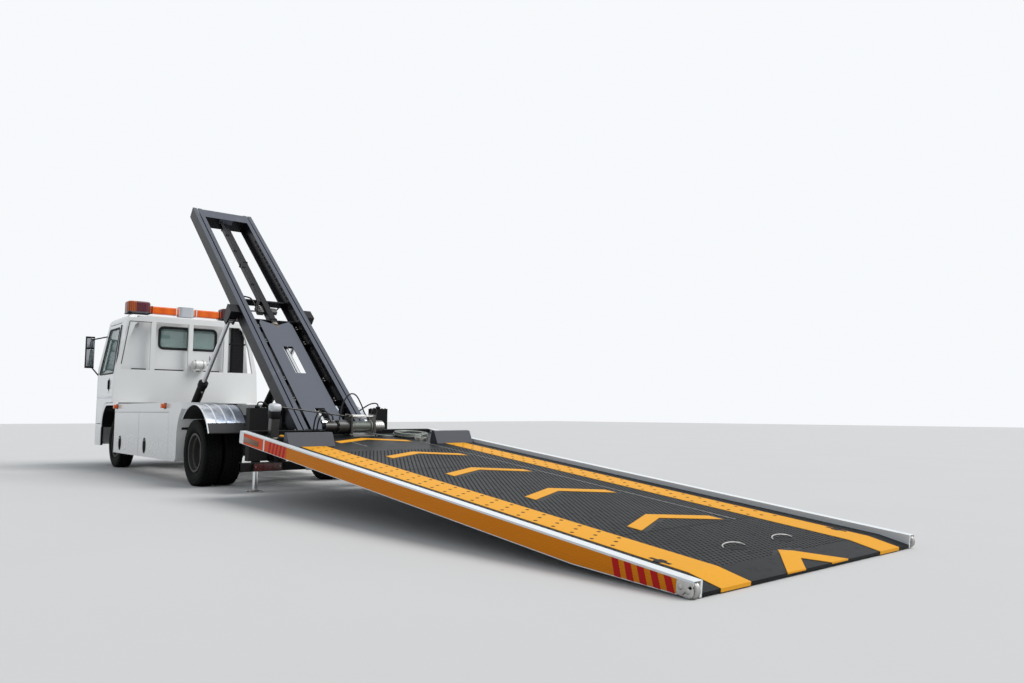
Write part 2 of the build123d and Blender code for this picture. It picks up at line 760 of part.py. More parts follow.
# Carriage: shoes held in the rails' grooves, a cross beam and the knuckles of the bed's hinge
neck_half = frame_groove / 2 - 3
foot_half = 40
foot_deep = 40
shoe_low = frame_top + slide_gap
carriage_low = -bed_hinge_back - carriage_behind
cross_beam_length = 90
cross_beam_level = 20

with BuildPart() as carriage:
    for side, y, sign in mirrored(frame_centre):
        with BuildSketch(across_frame(carriage_low)):
            with Locations((y, shoe_low + shoe_thick / 2)):
                Rectangle(frame_rail_width, shoe_thick)
            with Locations((y, frame_top - frame_flange / 2)):
                Rectangle(2 * neck_half, frame_flange + 2 * slide_gap)
            with Locations((y, frame_top - frame_flange - slide_gap - foot_deep / 2)):
                Rectangle(2 * foot_half, foot_deep)
        extrude(amount=carriage_ahead + carriage_behind)
        with BuildSketch(on_frame(y + arm_thick / 2)):
            with BuildLine():
                Polyline((carriage_low, shoe_low), (-bed_hinge_back - knuckle_radius, bed_hinge_up),
                         (-bed_hinge_back + knuckle_radius, bed_hinge_up), (-bed_hinge_back + carriage_ahead, shoe_low), close=True)
            make_face()
            with Locations((-bed_hinge_back, bed_hinge_up)):
                Circle(knuckle_radius)
        extrude(amount=arm_thick)
    with BuildSketch(on_frame(frame_centre)):
        with Locations((-bed_hinge_back + carriage_ahead - cross_beam_length / 2, shoe_low + cross_beam_level)):
            Rectangle(cross_beam_length, 2 * cross_beam_level)
    extrude(amount=2 * frame_centre)
    with BuildSketch(on_frame(bed_beam_place - bed_beam_width / 2)):
        with Locations((-bed_hinge_back, bed_hinge_up)):
            Circle(bed_pin_radius)
    extrude(amount=2 * bed_beam_place - bed_beam_width)
save(carriage, "carriage")

# Bed: side rails with a tapered tail, ending in the cheek of each ramp roller
rail_bottom = bed_top_over_hinge - side_rail_height
tail_bottom = bed_top_over_hinge - side_rail_tail_height
roller_box = 2 * ramp_roller_radius + free_gap
strip_high = 22
strip_recess = 4
hinge_lug = 34


def bed_profile(raise_by=0):
    """Side view of the bed's edge: level along the top, its underside rising towards the tail."""
    with BuildLine() as outline:
        Polyline((back(0), bed_top_over_hinge), (back(0), rail_bottom + raise_by), (back(taper_start), rail_bottom + raise_by),
                 (back(bed_length), tail_bottom + raise_by), (back(bed_length), bed_top_over_hinge), close=True)
    make_face(outline.edges())


with BuildPart() as side_rails:
    for side, y, sign in mirrored(half_bed):
        with BuildSketch(on_bed(y)):
            bed_profile()
        extrude(amount=sign * side_rail_width)
        with BuildSketch(on_bed(y)):
            with BuildLine():
                Polyline((back(0) + 1, bed_top_over_hinge - strip_high), (back(0) + 1, rail_bottom + strip_high),
                         (back(taper_start), rail_bottom + strip_high), (back(bed_length) - 1, tail_bottom + strip_high),
                         (back(bed_length) - 1, bed_top_over_hinge - strip_high), close=True)
            make_face()
        extrude(amount=sign * strip_recess, mode=Mode.SUBTRACT)
        with BuildSketch(on_bed(y - sign * side_rail_width)):
            with BuildLine():
                low = deck_level - deck_thick - side_rail_wall
                Polyline((back(side_rail_wall), low), (back(side_rail_wall), rail_bottom + side_rail_wall),
                         (back(taper_start), rail_bottom + side_rail_wall),
                         (back(bed_length - 2 * roller_box), tail_bottom + side_rail_wall), (back(bed_length - 2 * roller_box), low),
                         close=True)
            make_face()
        extrude(amount=-sign * (side_rail_width - side_rail_wall - strip_recess), mode=Mode.SUBTRACT)
        with BuildSketch(on_bed(y + sign)):
            with Locations((back(bed_length - roller_box / 2), 0)):
                Rectangle(roller_box + 2, 4 * ramp_roller_radius)
        extrude(amount=sign * (side_rail_width - ramp_cheek + 1), mode=Mode.SUBTRACT)
        with BuildSketch(on_bed(y - sign * (side_rail_width - ramp_cheek / 2))):
            with Locations((back(bed_length - ramp_roller_from_end), bed_top_over_hinge - ramp_roller_below_top)):
                Circle(ramp_axle_radius)
        extrude(amount=sign * (ramp_cheek / 2 - side_rail_width))
save(side_rails, "side_rails")

# Bed frame: front beam, two long beams, cross beams under the deck and the hinge lugs
cross_pitch = (bed_length - 2 * front_beam_length) / bed_cross_count
lug_reach = 170
end_plate = 8
under_deck = deck_level - deck_thick

with BuildPart() as bed_frame:
    for side, y, sign in mirrored(bed_beam_place + bed_beam_width / 2):
        with BuildSketch(on_bed(y)):
            bed_profile(bed_clearance)
        extrude(amount=sign * bed_beam_width)
    for number in range(bed_cross_count):
        place = front_beam_length + (number + 1) * cross_pitch
        with BuildSketch(on_bed(deck_half)):
            with Locations((back(place), (rail_bottom + under_deck) / 2)):
                Rectangle(bed_cross_width, under_deck - rail_bottom)
        extrude(amount=2 * deck_half)
    with BuildSketch(on_bed(deck_half)):
        bed_profile(bed_clearance)
    extrude(amount=2 * deck_half, mode=Mode.INTERSECT)
    with BuildSketch(on_bed(deck_half)):
        with BuildLine():
            Polyline((back(0) + 1, under_deck), (back(deck_bevel_start), under_deck),
                     (back(bed_length - end_plate), under_deck - deck_bevel_drop), (back(bed_length - end_plate), 2 * rail_bottom),
                     (back(bed_length) - 1, 2 * rail_bottom), (back(bed_length) - 1, bed_width), (back(0) + 1, bed_width), close=True)
        make_face()
    extrude(amount=2 * deck_half, mode=Mode.SUBTRACT)
    with BuildSketch(on_bed(deck_half)):
        with Locations((back(front_beam_length / 2), bed_top_over_hinge - front_beam_depth / 2)):
            Rectangle(front_beam_length, front_beam_depth)
    extrude(amount=2 * deck_half)
    for side, y, sign in mirrored(bed_beam_place - bed_beam_width / 2):
        with BuildSketch(on_bed(y)):
            with BuildLine():
                Polyline((back(lug_reach), under_deck), (back(lug_reach), rail_bottom + bed_clearance), (0, -knuckle_radius),
                         (0, knuckle_radius), (back(0), knuckle_radius), (back(0), under_deck), close=True)
            make_face()
            with Locations((0, 0)):
                Circle(knuckle_radius)
                Circle(bed_pin_radius + fit_gap, mode=Mode.SUBTRACT)
        extrude(amount=sign * hinge_lug)
save(bed_frame, "bed_frame")

# Deck plate, bevelled down at the tail, with its end plate
with BuildPart() as deck:
    with BuildSketch(on_bed(deck_half)):
        with BuildLine():
            under_end = tail_bottom + bed_clearance + 2
            Polyline((back(front_beam_length), deck_level), (back(deck_bevel_start), deck_level),
                     (back(bed_length), deck_level - deck_bevel_drop), (back(bed_length), under_end),
                     (back(bed_length - end_plate), under_end), (back(bed_length - end_plate), deck_level - deck_bevel_drop - deck_thick),
                     (back(deck_bevel_start), deck_level - deck_thick), (back(front_beam_length), deck_level - deck_thick), close=True)
        make_face()
    extrude(amount=2 * deck_half)
save(deck, "deck")

# Wheel stops: a sloping plate with a turned-over top on two gussets
stop_lip = 45
with BuildPart() as wheel_stops:
    for side, y, sign in mirrored(stop_outer):
        with BuildSketch(on_bed(y)):
            with BuildLine():
                Polyline((back(stop_end), deck_level), (back(stop_start + stop_lip), deck_level + stop_height),
                         (back(stop_start), deck_level + stop_height), (back(stop_start), deck_level + stop_height - stop_sheet),
                         (back(stop_start + stop_lip - 4), deck_level + stop_height - stop_sheet), (back(stop_end - 10), deck_level),
                         close=True)
            make_face()
        extrude(amount=sign * (stop_outer - stop_inner))
        for edge in (y, y - sign * (stop_outer - stop_inner - stop_sheet)):
            with BuildSketch(on_bed(edge)):
                with BuildLine():
                    Polyline((back(stop_end), deck_level), (back(stop_start + stop_lip), deck_level + stop_height),
                             (back(stop_start), deck_level + stop_height), (back(stop_start - 20), deck_level), close=True)
                make_face()
            extrude(amount=sign * stop_sheet)
save(wheel_stops, "wheel_stops")

# Winch: base plate, end frames, gear case, motor, end cap, tie bars and the clutch rod with its pedestal
winch_axis = deck_level + winch_height
winch_frame = 20
winch_frame_top = 228
winch_frame_half = 105
gear_radius = 74
gear_length = 130
motor_radius = 48
motor_length = 150
cap_radius = 62
cap_length = 120
tie_radius = 9
drum_shaft = 20
tie_height = 212
clutch_place = 70
clutch_radius = 8
clutch_high = 300
clutch_low = 168
pedestal_place = 890
pedestal_width = 90
pedestal_depth = 90
pedestal_back = 120

with BuildPart() as winch_body:
    with BuildSketch(over_bed(deck_level)):
        with Locations((back(winch_place), (drum_left + drum_right) / 2)):
            Rectangle(2 * winch_frame_half + 20, drum_left - drum_right + 4 * winch_frame)
    extrude(amount=12)
    for y in (drum_left + free_gap + winch_frame, drum_right - free_gap):
        with BuildSketch(on_bed(y)):
            with BuildLine():
                Polyline((back(winch_place + winch_frame_half), deck_level), (back(winch_place + winch_frame_half * 0.7), deck_level + winch_frame_top),
                         (back(winch_place - winch_frame_half * 0.7), deck_level + winch_frame_top),
                         (back(winch_place - winch_frame_half), deck_level), close=True)
            make_face()
            with Locations((back(winch_place), winch_axis)):
                Circle(drum_shaft + fit_gap, mode=Mode.SUBTRACT)
        extrude(amount=winch_frame)
    gear_face = drum_left + free_gap + winch_frame
    with BuildSketch(on_bed(gear_face)):
        with Locations((back(winch_place), winch_axis)):
            Circle(gear_radius)
    extrude(amount=-gear_length)
    with BuildSketch(on_bed(gear_face + gear_length)):
        with Locations((back(winch_place), winch_axis)):
            Circle(motor_radius)
    extrude(amount=-motor_length)
    with BuildSketch(on_bed(drum_right - free_gap - winch_frame)):
        with Locations((back(winch_place), winch_axis)):
            Circle(cap_radius)
    extrude(amount=cap_length)
    with BuildSketch(on_bed(drum_left + free_gap)):
        for offset_back in (-50, 50):
            with Locations((back(winch_place + offset_back), deck_level + tie_height)):
                Circle(tie_radius)
    extrude(amount=drum_left - drum_right + 2 * free_gap)
    pedestal_inner = pedestal_place - pedestal_width / 2
    with BuildSketch(over_bed(deck_level)):
        with Locations((back(pedestal_back), pedestal_place)):
            RectangleRounded(pedestal_depth, pedestal_width, 12)
    extrude(amount=clutch_high + 20)
    rod_start = on_bed().from_local_coords((back(clutch_place + 40), deck_level + clutch_high, -pedestal_inner - 20))
    rod_end = on_bed().from_local_coords((back(winch_place - 60), deck_level + clutch_low, -drum_right + free_gap + winch_frame / 2))
    with BuildSketch(Plane(origin=rod_start, z_dir=rod_end - rod_start)):
        Circle(clutch_radius)
    extrude(amount=(rod_end - rod_start).length)
save(winch_body, "winch_body")

# Winch drum with the cable wound on it, turning on two trunnions in the end frames
with BuildPart() as winch_drum:
    with BuildSketch(over_bed(winch_axis)):
        with BuildLine():
            drum_axis = back(winch_place)
            Polyline((drum_axis, drum_left), (drum_axis + drum_flange, drum_left),
                     (drum_axis + drum_flange, drum_left - drum_disc), (drum_axis + drum_wound, drum_left - drum_disc),
                     (drum_axis + drum_wound, drum_right + drum_disc), (drum_axis + drum_flange, drum_right + drum_disc),
                     (drum_axis + drum_flange, drum_right), (drum_axis, drum_right), close=True)
        make_face()
    drum_line = Axis(on_bed().from_local_coords((back(winch_place), winch_axis, 0)), (0, 1, 0))
    revolve(axis=drum_line)
    with BuildSketch(on_bed(drum_left + free_gap + winch_frame - slide_gap)):
        with Locations((back(winch_place), winch_axis)):
            Circle(drum_shaft)
    extrude(amount=drum_left - drum_right + 2 * (free_gap + winch_frame - slide_gap))
save(winch_drum, "winch_drum")

# Ramp rollers
for side, y, sign in mirrored(half_bed):
    with BuildPart() as roller:
        with BuildSketch(on_bed(y)):
            with Locations((back(bed_length - ramp_roller_from_end), bed_top_over_hinge - ramp_roller_below_top)):
                Circle(ramp_roller_radius)
                Circle(ramp_axle_radius + fit_gap, mode=Mode.SUBTRACT)
        extrude(amount=sign * ramp_roller_width)
    save(roller, f"roller_{side}")

# Tow cable: the lead off the underside of the drum, a coil lying on the deck, and the hook at its end
cable_radius = 6
lead_right = -150
lead_level = winch_height - drum_wound - cable_radius - slide_gap
coil_back = 390
coil_right = -640
coil_radius = 165
coil_width = 90
coil_height = 60
coil_top = coil_right + coil_radius + coil_width / 2
lead_fall = atan2(lead_level - cable_radius - slide_gap, lead_right - coil_top)
lead_plane = Plane(origin=on_bed().from_local_coords((back(winch_place), deck_level + lead_level, -lead_right)),
                   x_dir=(cos(slope), 0, sin(slope)),
                   z_dir=(-sin(slope) * cos(lead_fall), -sin(lead_fall), cos(slope) * cos(lead_fall)))
# Points of the lead: forward from the drum's axis, and left from where it leaves the drum
lead_points = ((0, 0), (-70, -6), (-150, -40), (-215, -110), (-235, -200), (-212, coil_top - lead_right + 1))


def bend_radii(points):
    """Radius of the arc at each corner of a route: as large as the two runs beside it allow."""
    radii = []
    for before, corner, after in zip(points, points[1:], points[2:]):
        first = Vector(*corner) - Vector(*before)
        second = Vector(*after) - Vector(*corner)
        half_turn = radians(first.get_angle(second)) / 2
        radii.append(0.45 * min(first.length, second.length) / tan(half_turn))
    return radii


lead_radii = bend_radii(lead_points)
print("radii of the cable's lead", [round(radius) for radius in lead_radii])
with BuildPart() as cable_lead:
    with BuildLine(lead_plane) as lead_route:
        FilletPolyline(*lead_points, radius=lead_radii)
    lead_wire = lead_route.wire()
    with BuildSketch(Plane(origin=lead_wire @ 0, z_dir=lead_wire % 0)):
        Circle(cable_radius)
    sweep(path=lead_wire)
print("volume over section times length", cable_lead.part.volume / (pi * cable_radius ** 2 * lead_wire.length))
save(cable_lead, "cable_lead")

with BuildPart() as cable_coil:
    with BuildSketch(over_bed(deck_level)):
        with Locations((back(coil_back), coil_right)):
            Circle(coil_radius + coil_width / 2)
            Circle(coil_radius - coil_width / 2, mode=Mode.SUBTRACT)
    extrude(amount=coil_height)
save(cable_coil, "cable_coil")

hook_thick = 26
hook_back = 690
hook_right = coil_right + 40
hook_turn = radians(35)
hook_bowl = 48
hook_throat = 24
hook_shank = 72
hook_eye = 24
hook_hole = 12
hook_base = over_bed(deck_level)
hook_plane = Plane(origin=hook_base.from_local_coords((back(hook_back), hook_right, 0)),
                   x_dir=hook_base.x_dir * cos(hook_turn) + hook_base.y_dir * sin(hook_turn), z_dir=hook_base.z_dir)
with BuildPart() as tow_hook:
    with BuildSketch(hook_plane):
        Circle(hook_bowl)
        with Locations((hook_shank / 2, 0)):
            Rectangle(hook_shank, hook_thick)
        with Locations((hook_shank, 0)):
            Circle(hook_eye)
            Circle(hook_hole, mode=Mode.SUBTRACT)
        Circle(hook_throat, mode=Mode.SUBTRACT)
        with Locations((hook_throat, hook_bowl / 2)):
            Rectangle(hook_bowl, hook_throat, mode=Mode.SUBTRACT)
    extrude(amount=hook_thick)
save(tow_hook, "tow_hook")

# Tilt cylinders: barrel on the chassis pin, and the rod whose eye sits between the slide frame's plates
cylinder_slope = atan2(hinge_z + rest_span[1] - cylinder_base_z, hinge_x + rest_span[0] - cylinder_base_x)
base_point = (shift + cylinder_base_x, cylinder_base_z)
neck_length = 50
barrel_floor = 6
gland_length = 25
piston_length = 14


def along_cylinder(y, place):
    """Plane square to the tilt cylinder, at a distance from its base pin."""
    direction = Vector(cos(cylinder_slope), 0, sin(cylinder_slope))
    return Plane(origin=Vector(base_point[0], y, base_point[1]) + direction * place, x_dir=(0, 1, 0), z_dir=direction)


for side, y, sign in mirrored(cylinder_place):
    with BuildPart() as tilt_barrel:
        with BuildSketch(along_cylinder(y, neck_length)):
            Circle(barrel_radius)
        extrude(amount=barrel_length - neck_length)
        with BuildSketch(along_cylinder(y, 0)):
            Rectangle(eye_width, 2 * eye_radius - 10)
        extrude(amount=neck_length)
        with BuildSketch(along_cylinder(y, neck_length + barrel_floor)):
            Circle(barrel_radius - 10)
        extrude(amount=barrel_length - gland_length - neck_length - barrel_floor, mode=Mode.SUBTRACT)
        with BuildSketch(along_cylinder(y, barrel_length - gland_length - 1)):
            Circle(piston_rod_radius + fit_gap)
        extrude(amount=gland_length + 2, mode=Mode.SUBTRACT)
        with BuildSketch(at_side(y + eye_width / 2)):
            with Locations(base_point):
                Circle(eye_radius)
        extrude(amount=eye_width)
        with BuildSketch(at_side(y + eye_width / 2)):
            with Locations(base_point):
                Circle(cylinder_pin_radius + fit_gap)
        extrude(amount=eye_width, mode=Mode.SUBTRACT)
    save(tilt_barrel, f"tilt_barrel_{side}")
    with BuildPart() as tilt_rod:
        piston_back = barrel_length - gland_length - piston_length - 1
        with BuildSketch(along_cylinder(y, piston_back)):
            Circle(piston_rod_radius)
        extrude(amount=cylinder_rest - piston_back)
        with BuildSketch(along_cylinder(y, piston_back)):
            Circle(barrel_radius - 10 - fit_gap)
        extrude(amount=piston_length)
        with BuildSketch(at_side(y + eye_width / 2)):
            with Locations((shift + hinge_x + rest_span[0], hinge_z + rest_span[1])):
                Circle(eye_radius)
        extrude(amount=eye_width)
    save(tilt_rod, f"tilt_rod_{side}")

# Cab: one form cut from its side, front and plan outlines, made again smaller for its walls and glass
arch_top_front = 4430
arch_foot = 4690
roof_back = 3770
roof_front = 4560
brow = (4740, 2420)
windscreen_foot = (5175, windscreen_base)
chin = (nose, 1150)
glass_out = 12
glass_in = 18
door_rear_low = (4038, 1045)
door_rear_high = (3985, 2330)
door_front_high = (4680, 2330)
door_front_waist = (5060, 1540)
door_front_low = (5060, 700)
arch_bend = (4628, 860)
arch_land = 10
door_window = ((4090, 1520), (4975, 1520), (4655, 2262), (4058, 2262))
rear_window = (460, 1935, 2280)
screen_window = ((900, 1610), (830, 2330))
window_radius = 60
lamp_place = 700
lamp_level = 860
lamp_width = 230
lamp_height = 150
lamp_recess = 30
shell_clear = 880


def cab_form(inset):
    """The cab's outer form drawn in by inset on every side."""
    with BuildPart() as form:
        with BuildSketch(at_side(cab_half + 100)):
            with BuildLine():
                Polyline((shift + arch_top_front, cab_floor), (shift + cab_back, cab_floor), (shift + cab_back, roof_height - 80))
                ThreePointArc((shift + cab_back, roof_height - 80), (shift + cab_back + 23, roof_height - 23),
                              (shift + roof_back, roof_height))
                Line((shift + roof_back, roof_height), (shift + roof_front, roof_height))
                TangentArc((shift + roof_front, roof_height), (shift + brow[0], brow[1]), tangent=(1, 0))
                Line((shift + brow[0], brow[1]), (shift + windscreen_foot[0], windscreen_foot[1]))
                Line((shift + windscreen_foot[0], windscreen_foot[1]), (shift + chin[0], chin[1]))
                Polyline((shift + chin[0], chin[1]), (shift + nose, cab_skirt), (shift + arch_foot, cab_skirt))
                ThreePointArc((shift + arch_foot, cab_skirt), (shift + arch_bend[0], arch_bend[1]),
                              (shift + arch_top_front, cab_floor))
            make_face()
            if inset:
                offset(amount=-inset)
        extrude(amount=2 * cab_half + 200)
        with BuildSketch(Plane.YZ.offset(shift + cab_back - 100)):
            with BuildLine():
                right = Polyline((0, cab_skirt), (cab_half, cab_skirt), (cab_half, cab_waist), (962, 2330))
                arc = ThreePointArc(right @ 1, (925, 2435), (830, roof_height))
                Line(arc @ 1, (0, roof_height))
                Line((0, roof_height), (0, cab_skirt))
            make_face()
            mirror(about=Plane.YZ)
            if inset:
                offset(amount=-inset)
        extrude(amount=nose - cab_back + 200, mode=Mode.INTERSECT)
        with BuildSketch(Plane.XY.offset(cab_skirt - 50)):
            with BuildLine():
                Polyline((shift + nose - 190, cab_half), (shift + cab_back, cab_half), (shift + cab_back, -cab_half),
                         (shift + nose - 190, -cab_half))
                ThreePointArc((shift + nose - 190, -cab_half), (shift + nose - 72, cab_half * -0.94), (shift + nose - 14, -820))
                ThreePointArc((shift + nose - 14, -820), (shift + nose, 0), (shift + nose - 14, 820))
                ThreePointArc((shift + nose - 14, 820), (shift + nose - 72, cab_half * 0.94), (shift + nose - 190, cab_half))
            make_face()
            if inset:
                offset(amount=-inset)
        extrude(amount=roof_height - cab_skirt + 100, mode=Mode.INTERSECT)
    return form.part


def side_outline(points, grow=0):
    """Closed side-view outline through points given forward of the rear axle, grown by a gap."""
    with BuildLine() as outline:
        Polyline(*[(shift + x, z) for x, z in points], close=True)
    make_face(outline.edges())
    if grow:
        offset(amount=grow, kind=Kind.INTERSECTION)


def screen_outline():
    """Front view of the windscreen opening."""
    (low_half, low_z), (high_half, high_z) = screen_window
    with BuildLine() as outline:
        Polyline((-low_half, low_z), (low_half, low_z), (high_half, high_z), (-high_half, high_z), close=True)
    make_face(outline.edges())


def lamp_outline():
    """Front view of the two head lamps."""
    with Locations((lamp_place, lamp_level), (-lamp_place, lamp_level)):
        RectangleRounded(lamp_width, lamp_height, lamp_height / 4)


def circle_through(start, middle, end):
    """Centre and radius of the circle through three points of the side view."""
    (ax, az), (bx, bz), (cx, cz) = start, middle, end
    spread = 2 * (ax * (bz - cz) + bx * (cz - az) + cx * (az - bz))
    squares = (ax * ax + az * az, bx * bx + bz * bz, cx * cx + cz * cz)
    x = (squares[0] * (bz - cz) + squares[1] * (cz - az) + squares[2] * (az - bz)) / spread
    z = (squares[0] * (cx - bx) + squares[1] * (ax - cx) + squares[2] * (bx - ax)) / spread
    return x, z, hypot(ax - x, az - z)


arch_x, arch_z, arch_radius = circle_through((arch_foot, cab_skirt), arch_bend, (arch_top_front, cab_floor))
door_radius = arch_radius + cab_wall + door_gap + arch_land
door_arch_low = asin((door_front_low[1] - arch_z) / door_radius)
door_arch_high = asin((door_rear_low[1] - arch_z) / door_radius)
door_arch_steps = 5
door_arch = [(arch_x + door_radius * cos(door_arch_low + (door_arch_high - door_arch_low) * step / door_arch_steps),
              arch_z + door_radius * sin(door_arch_low + (door_arch_high - door_arch_low) * step / door_arch_steps))
             for step in range(door_arch_steps + 1)]
door_points = (door_rear_low, door_rear_high, door_front_high, door_front_waist, door_front_low, *door_arch)
cab_outer = cab_form(0)
cab_inner = cab_form(cab_wall)
with BuildPart() as cab_wall_shell:
    add(cab_outer)
    add(cab_inner, mode=Mode.SUBTRACT)
with BuildPart() as pane_shell:
    add(cab_form(glass_out))
    add(cab_form(glass_in), mode=Mode.SUBTRACT)

with BuildPart() as cab_shell:
    add(cab_wall_shell.part)
    with BuildSketch(Plane.XY.offset(cab_skirt - 1)):
        with Locations((shift + (arch_foot + cab_wall + nose - cab_wall - 14) / 2, 0)):
            Rectangle(nose - arch_foot - 2 * cab_wall - 60, 2 * (cab_half - cab_wall))
    extrude(amount=cab_wall + 2, mode=Mode.SUBTRACT)
    with BuildSketch(at_side(cab_half - cab_wall - free_gap)):
        with Locations((shift + (arch_foot + nose) / 2 - 10, foot_floor + cab_wall / 2)):
            Rectangle(nose - arch_foot - cab_wall - 20, cab_wall)
    extrude(amount=2 * (cab_half - cab_wall - free_gap))
    for side, y, sign in mirrored(cab_half + 50):
        with BuildSketch(at_side(y)):
            side_outline(door_points, door_gap)
        extrude(amount=sign * (cab_half + 50 - shell_clear), mode=Mode.SUBTRACT)
    with BuildSketch(Plane.YZ.offset(shift + cab_back - 50)):
        with Locations((0, (rear_window[1] + rear_window[2]) / 2)):
            RectangleRounded(2 * rear_window[0], rear_window[2] - rear_window[1], window_radius)
    extrude(amount=cab_wall + 100, mode=Mode.SUBTRACT)
    with BuildSketch(Plane.YZ.offset(shift + roof_front + 40)):
        screen_outline()
        fillet(vertices(), window_radius)
    extrude(amount=nose - roof_front, mode=Mode.SUBTRACT)
    with BuildSketch(Plane.YZ.offset(shift + arch_top_front)):
        for side, y, sign in mirrored(rail_half - rail_flange / 2):
            with Locations((y, rail_top - rail_height / 2)):
                Rectangle(rail_flange + 2 * free_gap, rail_height + 2 * free_gap)
    extrude(amount=nose - arch_top_front - lamp_recess - cab_wall, mode=Mode.SUBTRACT)
    with BuildSketch(Plane.YZ.offset(shift + nose - lamp_recess)):
        lamp_outline()
    extrude(amount=lamp_recess, mode=Mode.SUBTRACT)
save(cab_shell, "cab_shell")

with BuildPart() as pane_outlines:
    with BuildSketch(Plane.YZ.offset(shift + cab_back)):
        with Locations((0, (rear_window[1] + rear_window[2]) / 2)):
            RectangleRounded(2 * rear_window[0], rear_window[2] - rear_window[1], window_radius)
    extrude(amount=cab_wall)
    with BuildSketch(Plane.YZ.offset(shift + roof_front + 40)):
        screen_outline()
        fillet(vertices(), window_radius)
    extrude(amount=nose - roof_front)
with BuildPart() as cab_glass:
    add(pane_shell.part)
    add(pane_outlines.part, mode=Mode.INTERSECT)
save(cab_glass, "cab_glass")

for side, y, sign in mirrored(cab_half + 50):
    with BuildPart() as cab_door:
        add(cab_wall_shell.part)
        with BuildSketch(at_side(y)):
            side_outline(door_points)
        extrude(amount=sign * (cab_half + 50 - shell_clear), mode=Mode.INTERSECT)
        with BuildSketch(at_side(y)):
            side_outline(door_window)
            fillet(vertices(), 40)
        extrude(amount=sign * (cab_half + 50 - shell_clear), mode=Mode.SUBTRACT)
    save(cab_door, f"cab_door_{side}")
    with BuildPart() as door_glass:
        add(pane_shell.part)
        with BuildSketch(at_side(y)):
            side_outline(door_window)
            fillet(vertices(), 40)
        extrude(amount=sign * (cab_half + 50 - shell_clear), mode=Mode.INTERSECT)
    save(door_glass, f"cab_door_{side}_glass")

# Cab interior: floor step over the engine, dash and steering wheel, with the seats apart
dash_back = 4880
dash_low = 1180
dash_high = 1480
dash_half = 780
steering_place = 420
with BuildPart() as cab_interior:
    with BuildSketch(at_side(dash_half)):
        with BuildLine():
            Polyline((shift + dash_back, dash_low), (shift + dash_back - 60, dash_high - 60), (shift + dash_back + 60, dash_high),
                     (shift + 5120, dash_high), (shift + 5190, 1200), (shift + 5190, foot_floor + cab_wall),
                     (shift + 5120, foot_floor + cab_wall),
                     (shift + 5040, dash_low), close=True)
        make_face()
    extrude(amount=2 * dash_half)
    wheel_plane = Plane(origin=(shift + 4720, steering_place, 1540), x_dir=(0, 1, 0), z_dir=(-0.45, 0, 0.89))
    with BuildSketch(wheel_plane):
        Circle(215)
        Circle(190, mode=Mode.SUBTRACT)
        Rectangle(400, 34)
        Circle(60)
    extrude(amount=22)
    with BuildSketch(wheel_plane):
        Circle(26)
    extrude(amount=-260)
save(cab_interior, "cab_interior")

seat_centres = (-560, 0, 480)
seat_width = 420
with BuildPart() as cab_seats:
    for y in seat_centres:
        with BuildSketch(at_side(y + seat_width / 2)):
            with BuildLine():
                Polyline((shift + 3960, cab_floor + cab_wall), (shift + 4400, cab_floor + cab_wall), (shift + 4420, 1290), (shift + 4020, 1270),
                         (shift + 3930, 1900), (shift + 3830, 1880), (shift + 3900, 1250), close=True)
            make_face()
            fillet(vertices().group_by(Axis.Y)[-1], 30)
        extrude(amount=seat_width)
save(cab_seats, "cab_seats")

# Bumper below the cab's skirt, wrapped round to the wheel arches
bumper_low = 340
bumper_sheet = 8
bumper_reach = 560
bumper_bracket = 140
with BuildPart() as bumper:
    with BuildSketch(Plane.XY.offset(bumper_low)):
        with BuildLine():
            Polyline((shift + nose - bumper_reach, cab_half), (shift + nose - 190, cab_half))
            ThreePointArc((shift + nose - 190, cab_half), (shift + nose - 72, cab_half * 0.94), (shift + nose - 14, 820))
            ThreePointArc((shift + nose - 14, 820), (shift + nose, 0), (shift + nose - 14, -820))
            ThreePointArc((shift + nose - 14, -820), (shift + nose - 72, cab_half * -0.94), (shift + nose - 190, -cab_half))
            Polyline((shift + nose - 190, -cab_half), (shift + nose - bumper_reach, -cab_half), (shift + nose - bumper_reach, cab_half))
        make_face()
        offset(amount=-cab_wall, mode=Mode.SUBTRACT)
        with Locations((shift + nose - bumper_reach, 0)):
            Rectangle(2 * cab_wall + 2, 2 * (cab_half - cab_wall), mode=Mode.SUBTRACT)
    extrude(amount=cab_skirt - bumper_low)
    for side, y, sign in mirrored(rail_half - rail_flange / 2):
        with BuildSketch(at_side(y + subframe_width / 2)):
            with Locations((shift + nose - 160 + bumper_bracket / 2, rail_low + 30)):
                Rectangle(bumper_bracket, 60)
        extrude(amount=subframe_width)
save(bumper, "bumper")

# Black trim: mirrors on arms, grille bars, steps, and the air intake behind the cab
mirror_x = 5140
mirror_y = 1170
mirror_low = 1640
mirror_high = 2180
mirror_arm_radius = 11
mirror_arms = ((5085, 1000, 1480, mirror_low + 60), (4825, 960, 2170, mirror_high - 60))
intake_place = 815
intake_half = 110
intake_depth = 80
intake_low = 1150
intake_high = 2370
with BuildPart() as cab_trim:
    for side, y, sign in mirrored(mirror_y):
        with BuildSketch(Plane.XY.offset(mirror_low)):
            with Locations((shift + mirror_x, y)):
                RectangleRounded(70, 140, 24)
        extrude(amount=mirror_high - mirror_low)
        for arm_x, arm_y, arm_z, height in mirror_arms:
            root = Vector(shift + arm_x, sign * arm_y, arm_z)
            end = Vector(shift + mirror_x, y, height)
            with BuildSketch(Plane(origin=root, z_dir=end - root)):
                Circle(mirror_arm_radius)
            extrude(amount=(end - root).length)
    with BuildSketch(Plane.XY.offset(intake_low)):
        with Locations((shift + cab_back - intake_depth / 2, -intake_place)):
            RectangleRounded(intake_depth, 2 * intake_half, 20)
    extrude(amount=intake_high - intake_low)
    add(cab_outer, mode=Mode.SUBTRACT)
save(cab_trim, "cab_trim")

